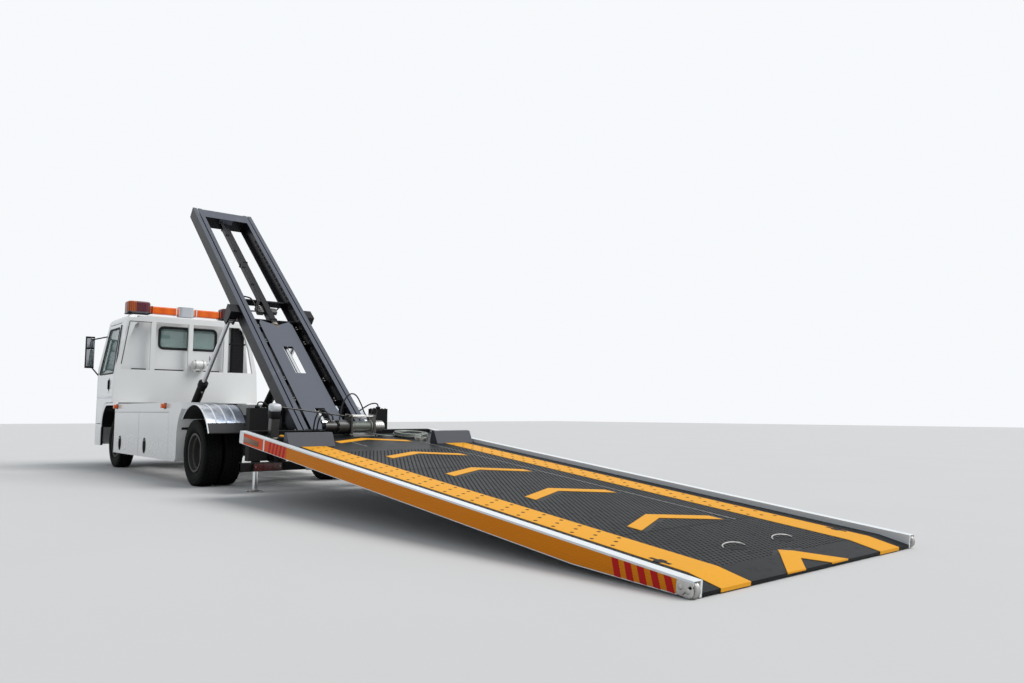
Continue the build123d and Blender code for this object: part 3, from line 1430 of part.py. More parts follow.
# Guard behind the cab
guard_opening_gap = 62
guard_shoulder = (1135, 1570)
guard_mid = (1040, 1977)
guard_neck = (935, 2313)
guard_crown = (816, 2418)
guard_post_place = 590
guard_rail = 92
guard_panel = 8

with BuildPart() as cab_guard:
    with BuildSketch(Plane.YZ.offset(shift + guard_x)):
        with BuildLine():
            Polyline((0, guard_low), (guard_half, guard_low), guard_shoulder, guard_mid, guard_neck)
            ThreePointArc(guard_neck, (895, 2380), guard_crown)
            Polyline(guard_crown, (700, guard_top), (0, guard_top), (0, guard_low))
        make_face()
        mirror(about=Plane.YZ)
    extrude(amount=guard_depth)
    top = guard_top - guard_rail
    with BuildSketch(Plane.YZ.offset(shift + guard_x)):
        for side, y, sign in mirrored(1):
            with BuildLine():
                Polyline((sign * (guard_post_place + guard_post / 2), guard_sill), (sign * (guard_shoulder[0] - guard_opening_gap - 10), guard_sill),
                         (sign * (guard_mid[0] - guard_opening_gap), guard_mid[1]), (sign * (guard_neck[0] - guard_opening_gap), top - 60),
                         (sign * (guard_neck[0] - guard_opening_gap - 60), top), (sign * (guard_post_place + guard_post / 2), top), close=True)
            make_face()
            with Locations((sign * (guard_post_place / 2), (guard_sill + top) / 2)):
                Rectangle(guard_post_place - guard_post, top - guard_sill)
    extrude(amount=guard_depth, mode=Mode.SUBTRACT)
    with BuildSketch(Plane.YZ.offset(shift + guard_x + guard_panel)):
        for y in (-800, -270, 270, 800):
            with Locations((y, (guard_low + guard_sill) / 2)):
                Rectangle(460, guard_sill - guard_low - 2 * guard_opening_gap)
    extrude(amount=guard_depth, mode=Mode.SUBTRACT)
save(cab_guard, "cab_guard")

# Light bar on the roof
bar_x = 3900
pod_inner = 580
pod_outer = 935
tube_low = 2512
tube_high = 120
tube_deep = 150
unit_deep = 190
unit_wide = 250
unit_high = 161
unit_below = 18
with BuildPart() as light_bar:
    for side, y, sign in mirrored((pod_inner + pod_outer) / 2):
        with BuildSketch(Plane.XY.offset(roof_height + 24)):
            with Locations((shift + bar_x, y)):
                RectangleRounded(290, pod_outer - pod_inner, 90)
        extrude(amount=196)
        fillet(light_bar.edges().group_by(Axis.Z)[-1], 30)
        with BuildSketch(Plane.XY.offset(roof_height)):
            with Locations((shift + bar_x, sign * 650)):
                Rectangle(120, 60)
        extrude(amount=24)
    with BuildSketch(at_side(pod_inner + 10)):
        with Locations((shift + bar_x, tube_low + tube_high / 2)):
            RectangleRounded(tube_deep, tube_high, 22)
    extrude(amount=2 * pod_inner + 20)
    with BuildSketch(Plane.XY.offset(tube_low - unit_below)):
        with Locations((shift + bar_x, 0)):
            RectangleRounded(unit_deep, unit_wide, 60)
    extrude(amount=unit_high)
save(light_bar, "light_bar")

# Lockers: hollow boxes beside the rails with a band above their doors, and brackets from the rails
bracket_places = (1350, 2420, 3300)
locker_door_gap = 5
arch_front = 606
locker_tail_low = 621
door_top_edge = locker_door_top
with BuildPart() as lockers:
    for side, y, sign in mirrored(locker_half):
        with BuildSketch(at_side(y)):
            with BuildLine():
                Polyline((shift + locker_front, locker_low), (shift + locker_front, locker_top), (shift + arch_front - 165, locker_top),
                         (shift + arch_front - 165, 935))
                ThreePointArc((shift + arch_front - 165, 935), (shift + arch_front - 60, 800), (shift + arch_front, locker_tail_low))
                Polyline((shift + arch_front, locker_tail_low), (shift + arch_front, locker_low + 40), (shift + arch_front + 60, locker_low),
                         (shift + locker_front, locker_low))
            make_face()
        extrude(amount=sign * (locker_half - locker_inner))
        with BuildSketch(at_side(y - sign * locker_wall)):
            for start, end in ((locker_back, locker_split), (locker_split, locker_front)):
                with Locations((shift + (start + end) / 2, (locker_low + locker_top) / 2)):
                    Rectangle(end - start - 2 * locker_wall, locker_top - locker_low - 2 * locker_wall)
        extrude(amount=sign * (locker_half - locker_inner - 2 * locker_wall), mode=Mode.SUBTRACT)
        with BuildSketch(at_side(y + sign)):
            for start, end in ((locker_back, locker_split), (locker_split, locker_front)):
                with Locations((shift + (start + end) / 2, (locker_low + locker_door_top) / 2)):
                    Rectangle(end - start, locker_door_top - locker_low)
        extrude(amount=sign * (locker_wall + 1), mode=Mode.SUBTRACT)
        for place in bracket_places:
            with BuildSketch(at_side(y - sign * (locker_half - locker_inner))):
                with Locations((shift + place, rail_low - 30)):
                    Rectangle(80, 60)
            extrude(amount=sign * (locker_inner - rail_half + rail_flange))
save(lockers, "lockers")

locker_doors = (("front", locker_split, locker_front), ("rear", locker_back, locker_split))
for side, y, sign in mirrored(locker_half):
    for name, start, end in locker_doors:
        with BuildPart() as locker_door:
            with BuildSketch(at_side(y)):
                with Locations((shift + (start + end) / 2, (locker_low + locker_door_top) / 2)):
                    Rectangle(end - start - 2 * locker_door_gap, locker_door_top - locker_low - 2 * locker_door_gap)
            extrude(amount=sign * (locker_wall - slide_gap))
        save(locker_door, f"locker_door_{side}_{name}")

# Mudguards: rolled sheet with pressed ribs over the rear wheels
guard_start = 612
mudguard_wide = 470
with BuildPart() as mudguards:
    for side, y, sign in mirrored(guard_start + mudguard_wide):
        with BuildSketch(at_side(y)):
            with Locations((shift, tyre_radius)):
                Circle(mudguard_radius)
                Circle(mudguard_radius - mudguard_sheet, mode=Mode.SUBTRACT)
            with Locations((shift, tyre_radius - mudguard_radius)):
                Rectangle(3 * mudguard_radius, 2 * mudguard_radius + 480, mode=Mode.SUBTRACT)
            with Locations((shift + mudguard_radius, tyre_radius + mudguard_radius / 2)):
                Rectangle(2 * (mudguard_radius - 430), 2 * mudguard_radius, mode=Mode.SUBTRACT)
        extrude(amount=sign * mudguard_wide)
save(mudguards, "mudguards")

# Lamps: head lamps, tail lamps on the underrun bar and the amber markers
marker_places = (3502, 1101)
with BuildPart() as lamps:
    with BuildSketch(Plane.YZ.offset(shift + nose - lamp_recess)):
        lamp_outline()
    extrude(amount=lamp_recess - 8)
    for side, y, sign in mirrored(1):
        with BuildSketch(Plane.YZ.offset(shift + underrun_back)):
            with Locations((sign * 700, underrun_low + underrun_height / 2)):
                RectangleRounded(320, 84, 12)
        extrude(amount=-30)
        for place in marker_places:
            with BuildSketch(at_side(sign * locker_half)):
                with Locations((shift + place, 975)):
                    RectangleRounded(70, 60, 8)
            extrude(amount=-sign * 18)
save(lamps, "lamps")
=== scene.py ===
import bpy
import bmesh
from math import asin, atan2, cos, degrees, hypot, pi, radians, sin
from mathutils import Matrix, Vector


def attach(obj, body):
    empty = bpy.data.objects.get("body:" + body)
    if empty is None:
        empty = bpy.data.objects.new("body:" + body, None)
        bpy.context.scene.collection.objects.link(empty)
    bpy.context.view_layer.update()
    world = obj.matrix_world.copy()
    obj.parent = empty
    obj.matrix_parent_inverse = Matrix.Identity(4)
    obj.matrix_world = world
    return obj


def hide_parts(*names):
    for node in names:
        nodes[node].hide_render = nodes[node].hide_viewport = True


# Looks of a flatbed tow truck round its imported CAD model.
# Lengths are metres. In the tables x runs forward from the rear axle, and axleX puts that axle in the frame.

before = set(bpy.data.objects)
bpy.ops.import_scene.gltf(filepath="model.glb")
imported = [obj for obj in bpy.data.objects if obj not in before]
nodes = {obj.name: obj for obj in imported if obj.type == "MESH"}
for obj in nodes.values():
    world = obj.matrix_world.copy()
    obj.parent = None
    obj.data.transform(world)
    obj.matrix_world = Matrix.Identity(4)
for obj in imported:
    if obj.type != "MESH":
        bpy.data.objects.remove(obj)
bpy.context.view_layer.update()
print("frame loaded:", len(nodes), "nodes")

# Places taken over from the CAD source
truck = {"axleX": 1.124283, "tyreR": 0.402, "hingeX": -1.131, "hingeZ": 0.900, "tilt": radians(40.5),
         "bedBack": 0.628, "bedUp": 0.204, "bedFront": 0.043, "bedLength": 5.766, "bedTop": 0.060,
         "deckDrop": 0.037, "rollerFromEnd": 0.030, "rollerR": 0.045, "rollerBelow": 0.048}
axleX = truck["axleX"]
bedHingeX = truck["hingeX"] - truck["bedBack"] * cos(truck["tilt"]) - truck["bedUp"] * sin(truck["tilt"])
bedHingeZ = truck["hingeZ"] - truck["bedBack"] * sin(truck["tilt"]) + truck["bedUp"] * cos(truck["tilt"])
rollerBack = truck["bedFront"] + truck["bedLength"] - truck["rollerFromEnd"]
rollerDown = truck["rollerBelow"] - truck["bedTop"]
rollerReach = hypot(rollerBack, rollerDown)
bedSlope = asin((bedHingeZ - truck["rollerR"]) / rollerReach) - atan2(rollerDown, rollerBack)
deckLevel = truck["bedTop"] - truck["deckDrop"]

sides = (("Left", 1), ("Right", -1))

# Local frames: x forward, y left, z up from the surface
onTruck = Matrix.Translation((axleX, 0, 0))
slideHinge = (axleX + truck["hingeX"], 0, truck["hingeZ"])
onSlide = Matrix.Translation(slideHinge) @ Matrix.Rotation(-truck["tilt"], 4, "Y")
onBed = (Matrix.Translation((axleX + bedHingeX, 0, bedHingeZ)) @ Matrix.Rotation(-bedSlope, 4, "Y")
         @ Matrix.Translation((-truck["bedFront"], 0, deckLevel)))


# Shader sockets with arithmetic
class Sock:
    def __init__(self, tree, out):
        self.tree = tree
        self.out = out

    def math(self, operation, *values):
        node = self.tree.nodes.new("ShaderNodeMath")
        node.operation = operation
        for place, value in enumerate(values):
            link(self.tree, value, node.inputs[place])
        return Sock(self.tree, node.outputs[0])

    def __add__(self, other): return self.math("ADD", self, other)
    def __radd__(self, other): return self.math("ADD", other, self)
    def __sub__(self, other): return self.math("SUBTRACT", self, other)
    def __rsub__(self, other): return self.math("SUBTRACT", other, self)
    def __mul__(self, other): return self.math("MULTIPLY", self, other)
    def __rmul__(self, other): return self.math("MULTIPLY", other, self)
    def __truediv__(self, other): return self.math("DIVIDE", self, other)
    def __pow__(self, other): return self.math("POWER", self, other)
    def __gt__(self, other): return self.math("GREATER_THAN", self, other)
    def __lt__(self, other): return self.math("LESS_THAN", self, other)

    def wave(self, period): return self.math("PINGPONG", self, period / 2) * (2 / period)
    def cut(self): return self.math("MINIMUM", self.math("MAXIMUM", self, 0.0), 1.0)
    def top(self, other): return self.math("MAXIMUM", self, other)
    def low(self, other): return self.math("MINIMUM", self, other)
    def size(self): return self.math("ABSOLUTE", self)


def link(tree, value, socket):
    if isinstance(value, Sock):
        tree.links.new(value.out, socket)
    elif hasattr(value, "__len__") and len(value) == 3 and socket.type == "RGBA":
        socket.default_value = (*value, 1.0)
    else:
        socket.default_value = value


class Finish:
    # one material: its node tree, its shader and the ways to add nodes to it
    def __init__(self, name, **surface):
        self.material = bpy.data.materials.new(name)
        self.material.use_nodes = True
        self.tree = self.material.node_tree
        self.shader = self.tree.nodes["Principled BSDF"]
        self.set(**surface)

    def set(self, **surface):
        for name, value in surface.items():
            link(self.tree, value, self.shader.inputs[shaderInputs[name]])

    def node(self, kind, settings=(), out=0, **sockets):
        made = self.tree.nodes.new("ShaderNode" + kind)
        for name, value in dict(settings).items():
            setattr(made, name, value)
        for name, value in sockets.items():
            link(self.tree, value, made.inputs[name.replace("_", " ")])
        return Sock(self.tree, made.outputs[out])

    def point(self):
        return self.node("TexCoord", out=3)

    def parts(self):
        split = self.tree.nodes.new("ShaderNodeSeparateXYZ")
        link(self.tree, self.point(), split.inputs[0])
        return [Sock(self.tree, split.outputs[place]) for place in range(3)]

    def noise(self, scale, detail=4.0, rough=0.55):
        return self.node("TexNoise", Vector=self.point(), Scale=scale, Detail=detail, Roughness=rough)

    def blend(self, factor, low, high):
        made = self.tree.nodes.new("ShaderNodeMix")
        made.data_type = "RGBA"
        link(self.tree, factor, made.inputs[0])
        link(self.tree, low, made.inputs[6])
        link(self.tree, high, made.inputs[7])
        return Sock(self.tree, made.outputs[2])

    def bump(self, height, strength=0.3, distance=0.002):
        self.set(normal=self.node("Bump", Height=height, Strength=strength, Distance=distance))


shaderInputs = {"colour": "Base Color", "rough": "Roughness", "metal": "Metallic", "coat": "Coat Weight",
                "coatRough": "Coat Roughness", "ior": "IOR", "alpha": "Alpha", "normal": "Normal",
                "sheen": "Sheen Weight", "specular": "Specular IOR Level"}


# Paints, metals, rubber and glass
def dustyPaint(name, colour, dust, rough=0.28, coat=0.5, amount=0.25, lowLevel=0.9, gloss=0.3):
    # gloss paint with faint clouding, and road dust that thickens towards the ground
    paint = Finish(name, coat=coat, coatRough=0.1, specular=gloss)
    clouds = paint.noise(1.7, 5.0)
    fine = paint.noise(38.0, 3.0)
    low = (1.0 - paint.parts()[2] / lowLevel).cut()
    dirt = (((clouds - 0.45) * 2.0).cut() * 0.35 + low * low * 0.6) * (0.75 + (fine - 0.5) * 0.9) * amount
    paint.set(colour=paint.blend(dirt.cut(), colour, dust), rough=rough + dirt * 0.6 + (fine - 0.5) * 0.05)
    paint.bump(paint.noise(9.0, 2.0), 0.015, 0.004)
    return paint


def plainMetal(name, colour, rough, stain, scale=24.0, metal=1.0, bump=0.12):
    # bare or plated metal with clouded stains
    steel = Finish(name, metal=metal)
    cloud = steel.noise(scale, 5.0, 0.65)
    spots = ((steel.noise(scale * 3.1, 3.0) - 0.5) * 4.0).cut()
    steel.set(colour=steel.blend(((cloud - 0.35) * 1.4 + spots * 0.15).cut(), colour, stain),
              rough=rough + (cloud - 0.5) * 0.25)
    steel.bump(cloud + steel.noise(scale * 9.0, 2.0) * 0.4, bump, 0.001)
    return steel


roadDust = (0.20, 0.175, 0.14)
whiteDust = (0.50, 0.45, 0.38)
cabWhite = dustyPaint("CabWhite", (0.72, 0.72, 0.705), whiteDust, 0.24, 0.5, 0.35)
guardWhite = dustyPaint("GuardWhite", (0.79, 0.79, 0.77), whiteDust, 0.35, 0.2, 0.3, 1.4)
chassisBlack = dustyPaint("ChassisBlack", (0.009, 0.009, 0.010), roadDust, 0.55, 0.0, 0.16, 0.9, 0.1)
stopGrey = dustyPaint("StopGrey", (0.046, 0.049, 0.062), roadDust, 0.5, 0.0, 0.12, 0.6, 0.25)
stripYellow = dustyPaint("StripYellow", (0.80, 0.35, 0.008), (0.40, 0.25, 0.08), 0.5, 0.0, 0.3, 0.35, 0.15)
railAmber = dustyPaint("RailAmber", (0.66, 0.20, 0.001), (0.38, 0.17, 0.03), 0.5, 0.0, 0.2, 0.35, 0.12)
stripWhite = dustyPaint("StripWhite", (0.76, 0.79, 0.80), (0.42, 0.39, 0.34), 0.3, 0.3, 0.35, 0.5)
markRed = dustyPaint("MarkRed", (0.46, 0.004, 0.006), (0.25, 0.08, 0.06), 0.45, 0.0, 0.15, 0.4, 0.12)
markOrange = dustyPaint("MarkOrange", (0.70, 0.072, 0.004), (0.3, 0.14, 0.07), 0.45, 0.0, 0.15, 0.4, 0.12)
markDark = dustyPaint("MarkDark", (0.15, 0.055, 0.009), (0.2, 0.16, 0.1), 0.4, 0.2, 0.3, 0.5)
# near black: painted shade in holes, slots, recesses and gaps, and the deck's dark seams
shadeAndSeamDark = Finish("ShadeAndSeamDark")
shadeAndSeamDark.set(colour=shadeAndSeamDark.blend(shadeAndSeamDark.noise(60.0, 2.0), (0.003, 0.003, 0.003), (0.008, 0.007, 0.006)),
             rough=0.9)
zincMetal = plainMetal("Zinc", (0.55, 0.54, 0.51), 0.38, (0.30, 0.29, 0.26), 30.0)
castMetal = plainMetal("CastMetal", (0.56, 0.55, 0.53), 0.48, (0.38, 0.36, 0.33), 35.0, 0.55, 0.25)
rollerMetal = plainMetal("RollerMetal", (0.46, 0.45, 0.43), 0.45, (0.26, 0.25, 0.23), 40.0, 0.6, 0.25)
chromeMetal = plainMetal("ChromeRod", (0.74, 0.75, 0.77), 0.09, (0.60, 0.60, 0.61), 12.0, 1.0, 0.02)
rimDark = plainMetal("RimDark", (0.055, 0.052, 0.048), 0.6, (0.022, 0.020, 0.018), 14.0, 0.2, 0.15)
nutSteel = plainMetal("NutSteel", (0.24, 0.22, 0.19), 0.5, (0.10, 0.08, 0.06), 60.0, 0.8, 0.2)
ropeSteel = plainMetal("WireRope", (0.24, 0.26, 0.24), 0.45, (0.10, 0.11, 0.10), 90.0, 0.85, 0.3)
blackTrim = dustyPaint("BlackTrim", (0.009, 0.009, 0.010), (0.10, 0.09, 0.08), 0.5, 0.0, 0.15, 1.2, 0.15)
engineCast = plainMetal("EngineCast", (0.10, 0.10, 0.10), 0.6, (0.05, 0.04, 0.03), 20.0, 0.5, 0.4)
rubberSeal = dustyPaint("RubberSeal", (0.01, 0.01, 0.01), (0.1, 0.09, 0.08), 0.6, 0.0, 0.2, 0.5)
hoseBlack = dustyPaint("HoseBlack", (0.011, 0.011, 0.012), (0.12, 0.1, 0.09), 0.42, 0.1, 0.15, 0.5)
plateWhite = dustyPaint("PlateWhite", (0.74, 0.74, 0.72), whiteDust, 0.3, 0.3, 0.2, 0.6)

# deck plate: black enamel with grey scuffs
deckBlack = Finish("DeckBlack", specular=0.08)
deckCloud = deckBlack.noise(1.1, 6.0, 0.6)
scuffs = ((deckBlack.noise(14.0, 5.0, 0.7) - 0.55) * 5.0).cut()
deckBlack.set(colour=deckBlack.blend(scuffs * 0.5 + (deckCloud - 0.4).cut() * 0.5, (0.0065, 0.0075, 0.0085),
                                     (0.020, 0.021, 0.022)), rough=0.32 + deckCloud * 0.16 + scuffs * 0.15)
deckBlack.bump(deckBlack.noise(3.0, 3.0), 0.10, 0.008)

# polished sheet with slow waves that break up what it mirrors; its colour is a painted reflection, bright and
# blue-grey in these waves, with painted shade on the inner panels
stainlessSheet = Finish("StainlessSheet")
sheetWave = stainlessSheet.noise(4.0, 3.0)
gx, gy, gz = stainlessSheet.parts()
outwardX, outwardZ = gx - axleX, gz - truck["tyreR"]
fromAxle = (outwardX * outwardX + outwardZ * outwardZ) ** 0.5
blackFlap = (fromAxle < 0.5855).top((gz < 0.765).low(gx < axleX))
# painted shade: the inner panels turn towards blue-grey
innerPanelShade = ((0.86 - gy.size()) * 12.0).cut()
reflectionTone = ((sheetWave - 0.34) * 2.6).cut() * (1.0 - innerPanelShade * 0.7)
# painted reflection: blue-grey and bright tones stand for what the sheet mirrors
paintedReflection = stainlessSheet.blend(reflectionTone, (0.26, 0.30, 0.38), (0.86, 0.87, 0.88))
stainlessSheet.set(colour=stainlessSheet.blend(blackFlap, paintedReflection, (0.010, 0.010, 0.011)),
                   metal=(1.0 - blackFlap) * 0.55, rough=0.20 + sheetWave * 0.12 + blackFlap * 0.4)
stainlessSheet.bump(sheetWave, 0.5, 0.02)

# slide frame: slate gloss on the sliding faces, and the faces below them painted near black as shade
framePaint = Finish("FramePaint", specular=0.2)
px, py, pz = framePaint.parts()
tiltSin, tiltCos = sin(truck["tilt"]), cos(truck["tilt"])
acrossSlide = (px - (axleX + truck["hingeX"])) * -tiltSin + (pz - truck["hingeZ"]) * tiltCos
wear = ((framePaint.noise(7.0, 6.0, 0.7) - 0.56) * 7.0).cut() * 0.35
railTopLit = ((acrossSlide - 0.1265) * 900.0).cut()
coverTopLit = ((acrossSlide - 0.0480) * 900.0).cut() * (py.size() < 0.1)
litTops = railTopLit.top(coverTopLit)
# painted shade: every face below the sliding tops is near black; only the tops keep the slate paint
framePaint.set(colour=framePaint.blend(litTops, (0.006, 0.006, 0.008),
                                       framePaint.blend(wear, (0.088, 0.096, 0.118), (0.19, 0.20, 0.22))),
               rough=0.36 + wear * 0.3)
framePaint.bump(framePaint.noise(60.0, 3.0), 0.05, 0.001)
coverPaint = dustyPaint("CoverPaint", (0.086, 0.096, 0.120), (0.2, 0.19, 0.18), 0.4, 0.1, 0.15, 0.5)

tyreRubber = Finish("TyreRubber", specular=0.08)
tyreCloud = tyreRubber.noise(6.0, 6.0, 0.7)
tyreDust = (((tyreCloud - 0.38) * 2.2).cut() * 0.55 + ((tyreRubber.noise(70.0,
                                                                         3.0) - 0.5) * 3.0).cut() * 0.2).cut()
tyreRubber.set(colour=tyreRubber.blend(tyreDust, (0.0040, 0.0045, 0.0045), (0.017, 0.016, 0.014)),
               rough=0.70 + tyreDust * 0.25)
tyreRubber.bump(tyreRubber.noise(180.0, 4.0), 0.25, 0.0008)

seatCloth = Finish("CushionCloth", sheen=0.3, rough=0.85)
sx, sy, sz = seatCloth.parts()
weave = sx.wave(0.004) * (sy + sz).wave(0.004)
seatCloth.set(colour=seatCloth.blend(weave, (0.075, 0.077, 0.085), (0.15, 0.15, 0.16)))
seatCloth.bump(weave, 0.5, 0.001)


def clearPane(name, tint, alpha, rough=0.02):
    # see-through sheet with faint streaks
    pane = Finish(name, colour=tint, rough=rough, ior=1.45, coat=1.0, coatRough=0.02)
    streak = ((pane.noise(2.2, 4.0) - 0.5) * 1.6).cut()
    pane.set(alpha=alpha + streak * 0.08)
    return pane


cabPane = clearPane("CabPane", (0.22, 0.36, 0.33), 0.5)

# lamps: amber markers at the sides, red ones behind, clear head lamps in front
lampLens = Finish("LampLens", rough=0.16, coat=0.8, coatRough=0.05)
lx, ly = lampLens.parts()[:2]
flutes = ly.wave(0.012)
behindTail = lx < axleX - 1.25
aheadCab = lx > axleX + 5.0
lampSide = lampLens.blend(behindTail, lampLens.blend(flutes, (0.80, 0.13, 0.005), (0.95, 0.20, 0.01)),
                          lampLens.blend(flutes, (0.045, 0.002, 0.002), (0.11, 0.004, 0.004)))
lampLens.set(colour=lampLens.blend(aheadCab, lampSide, (0.62, 0.64, 0.66)))
lampLens.bump(flutes, 0.6, 0.002)

# light bar: smoked pods, orange tube and a pale middle unit
barLens = Finish("BarLens", rough=0.3, coat=0.15, coatRough=0.1, specular=0.3)
bx, by, bz = barLens.parts()
podFlutes = by.wave(0.026)
podAmber = (by.size() > 0.815).low(bx < axleX + 3.96)
podColour = barLens.blend(podAmber, barLens.blend(podFlutes, (0.050, 0.012, 0.018), (0.16, 0.035, 0.05)),
                          barLens.blend(podFlutes, (0.17, 0.025, 0.01), (0.56, 0.115, 0.012)))
podShade = barLens.blend(bz < 2.520, podColour, (0.10, 0.10, 0.11))
tubeShade = barLens.blend(by.size() < 0.126, barLens.blend(by.wave(0.19), (0.72, 0.10, 0.004),
                                                           (0.86, 0.15, 0.006)), (0.50, 0.52, 0.55))
barLens.set(colour=barLens.blend(by.size() > 0.579, tubeShade, podShade))
barLens.bump(podFlutes, 0.35, 0.002)

# winch: black gear and motor on the left, cast frames, a bright cap on the right
winchPaint = Finish("WinchPaint", coat=0.2, coatRough=0.15)
wy = winchPaint.parts()[1]
winchStain = winchPaint.noise(22.0, 5.0, 0.65)
winchDark = winchPaint.blend(winchStain, (0.012, 0.012, 0.013), (0.045, 0.042, 0.038))
winchBright = winchPaint.blend(winchStain, (0.58, 0.58, 0.57), (0.30, 0.29, 0.27))
brightSide = (wy < -0.2405).top((wy > -0.2215).low(wy < 0.0455))
winchPaint.set(colour=winchPaint.blend(brightSide, winchDark, winchBright), rough=0.32 + winchStain * 0.2,
               metal=brightSide * 0.85)
winchPaint.bump(winchStain, 0.15, 0.001)

# cab paint: white outside, black in the wheel arches, round the head lamps and in the low vent
cabPaint = dustyPaint("CabPaint", (0.80, 0.80, 0.79), whiteDust, 0.22, 0.6, 0.35)
hx, hy, hz = cabPaint.parts()
archInside = (hy.size() < 1.0275) * (hz < 1.08) * (hx > axleX + 3.705) * (hx < axleX + 4.85)
lampFrame = ((hy.size() - 0.70).size() < 0.130) * ((hz - 0.86).size() < 0.088) * (hx > axleX + 5.20)
lowVent = (hy.size() < 0.42) * ((hz - 0.50).size() < 0.035) * (hx > axleX + 5.260)
paintWhite = Sock(cabPaint.tree, cabPaint.shader.inputs["Base Color"].links[0].from_socket)
paintDark = archInside.top(lampFrame).top(lowVent)
cabPaint.set(colour=cabPaint.blend(paintDark, paintWhite, (0.010, 0.010, 0.011)),
             coat=(1.0 - paintDark) * 0.6)
bushBrown = plainMetal("BushBrown", (0.16, 0.075, 0.03), 0.5, (0.07, 0.035, 0.018), 40.0, 0.4, 0.2)
ventGrey = dustyPaint("VentGrey", (0.60, 0.61, 0.63), whiteDust, 0.3, 0.3, 0.2, 0.6)
mirrorPane = plainMetal("MirrorPane", (0.32, 0.34, 0.36), 0.05, (0.28, 0.30, 0.32), 3.0, 1.0, 0.01)
amberGlass = Finish("AmberGlass", rough=0.2, coat=0.4, coatRough=0.06, specular=0.3)
amberFlute = amberGlass.parts()[0].wave(0.010)
amberGlass.set(colour=amberGlass.blend(amberFlute, (0.62, 0.075, 0.003), (0.85, 0.13, 0.005)))
amberGlass.bump(amberFlute, 0.5, 0.002)
print("finishes made:", len(bpy.data.materials))

# What each CAD node is painted with
nodeFinish = {cabPaint: ("cab_shell", "bumper", "cab_door_left", "cab_door_right"),
              cabWhite: ("lockers", "locker_door_left_front", "locker_door_left_rear",
                         "locker_door_right_front", "locker_door_right_rear"), guardWhite: ("cab_guard",),
              chassisBlack: ("chassis_frame", "front_axle", "rear_axle", "knuckle_left", "knuckle_right",
                             "carriage", "bed_frame", "tilt_barrel_left", "tilt_barrel_right"),
              engineCast: ("engine_block",), framePaint: ("tilt_frame",), coverPaint: ("frame_cover",),
              chromeMetal: ("tilt_rod_left", "tilt_rod_right", "slide_rod", "leg_left", "leg_right"),
              deckBlack: ("deck",), stripWhite: ("side_rails",), stopGrey: ("wheel_stops",),
              winchPaint: ("winch_body",), zincMetal: ("winch_drum", "tow_hook"),
              rollerMetal: ("roller_left", "roller_right"), ropeSteel: ("cable_coil", "cable_lead"),
              tyreRubber: ("front_left_tyre", "front_right_tyre", "rear_left_tyres", "rear_right_tyres"),
              rimDark: ("front_left_rim", "front_right_rim", "rear_left_rims", "rear_right_rims"),
              cabPane: ("cab_glass", "cab_door_left_glass", "cab_door_right_glass"),
              blackTrim: ("cab_trim", "cab_interior"), seatCloth: ("cab_seats",), lampLens: ("lamps",),
              barLens: ("light_bar",), stainlessSheet: ("mudguards",), }
for finish, names in nodeFinish.items():
    for name in names:
        nodes[name].data.materials.clear()
        nodes[name].data.materials.append(finish.material)
bare = [name for name in nodes if not any(name in names for names in nodeFinish.values())]
print("nodes painted, left bare:", bare)


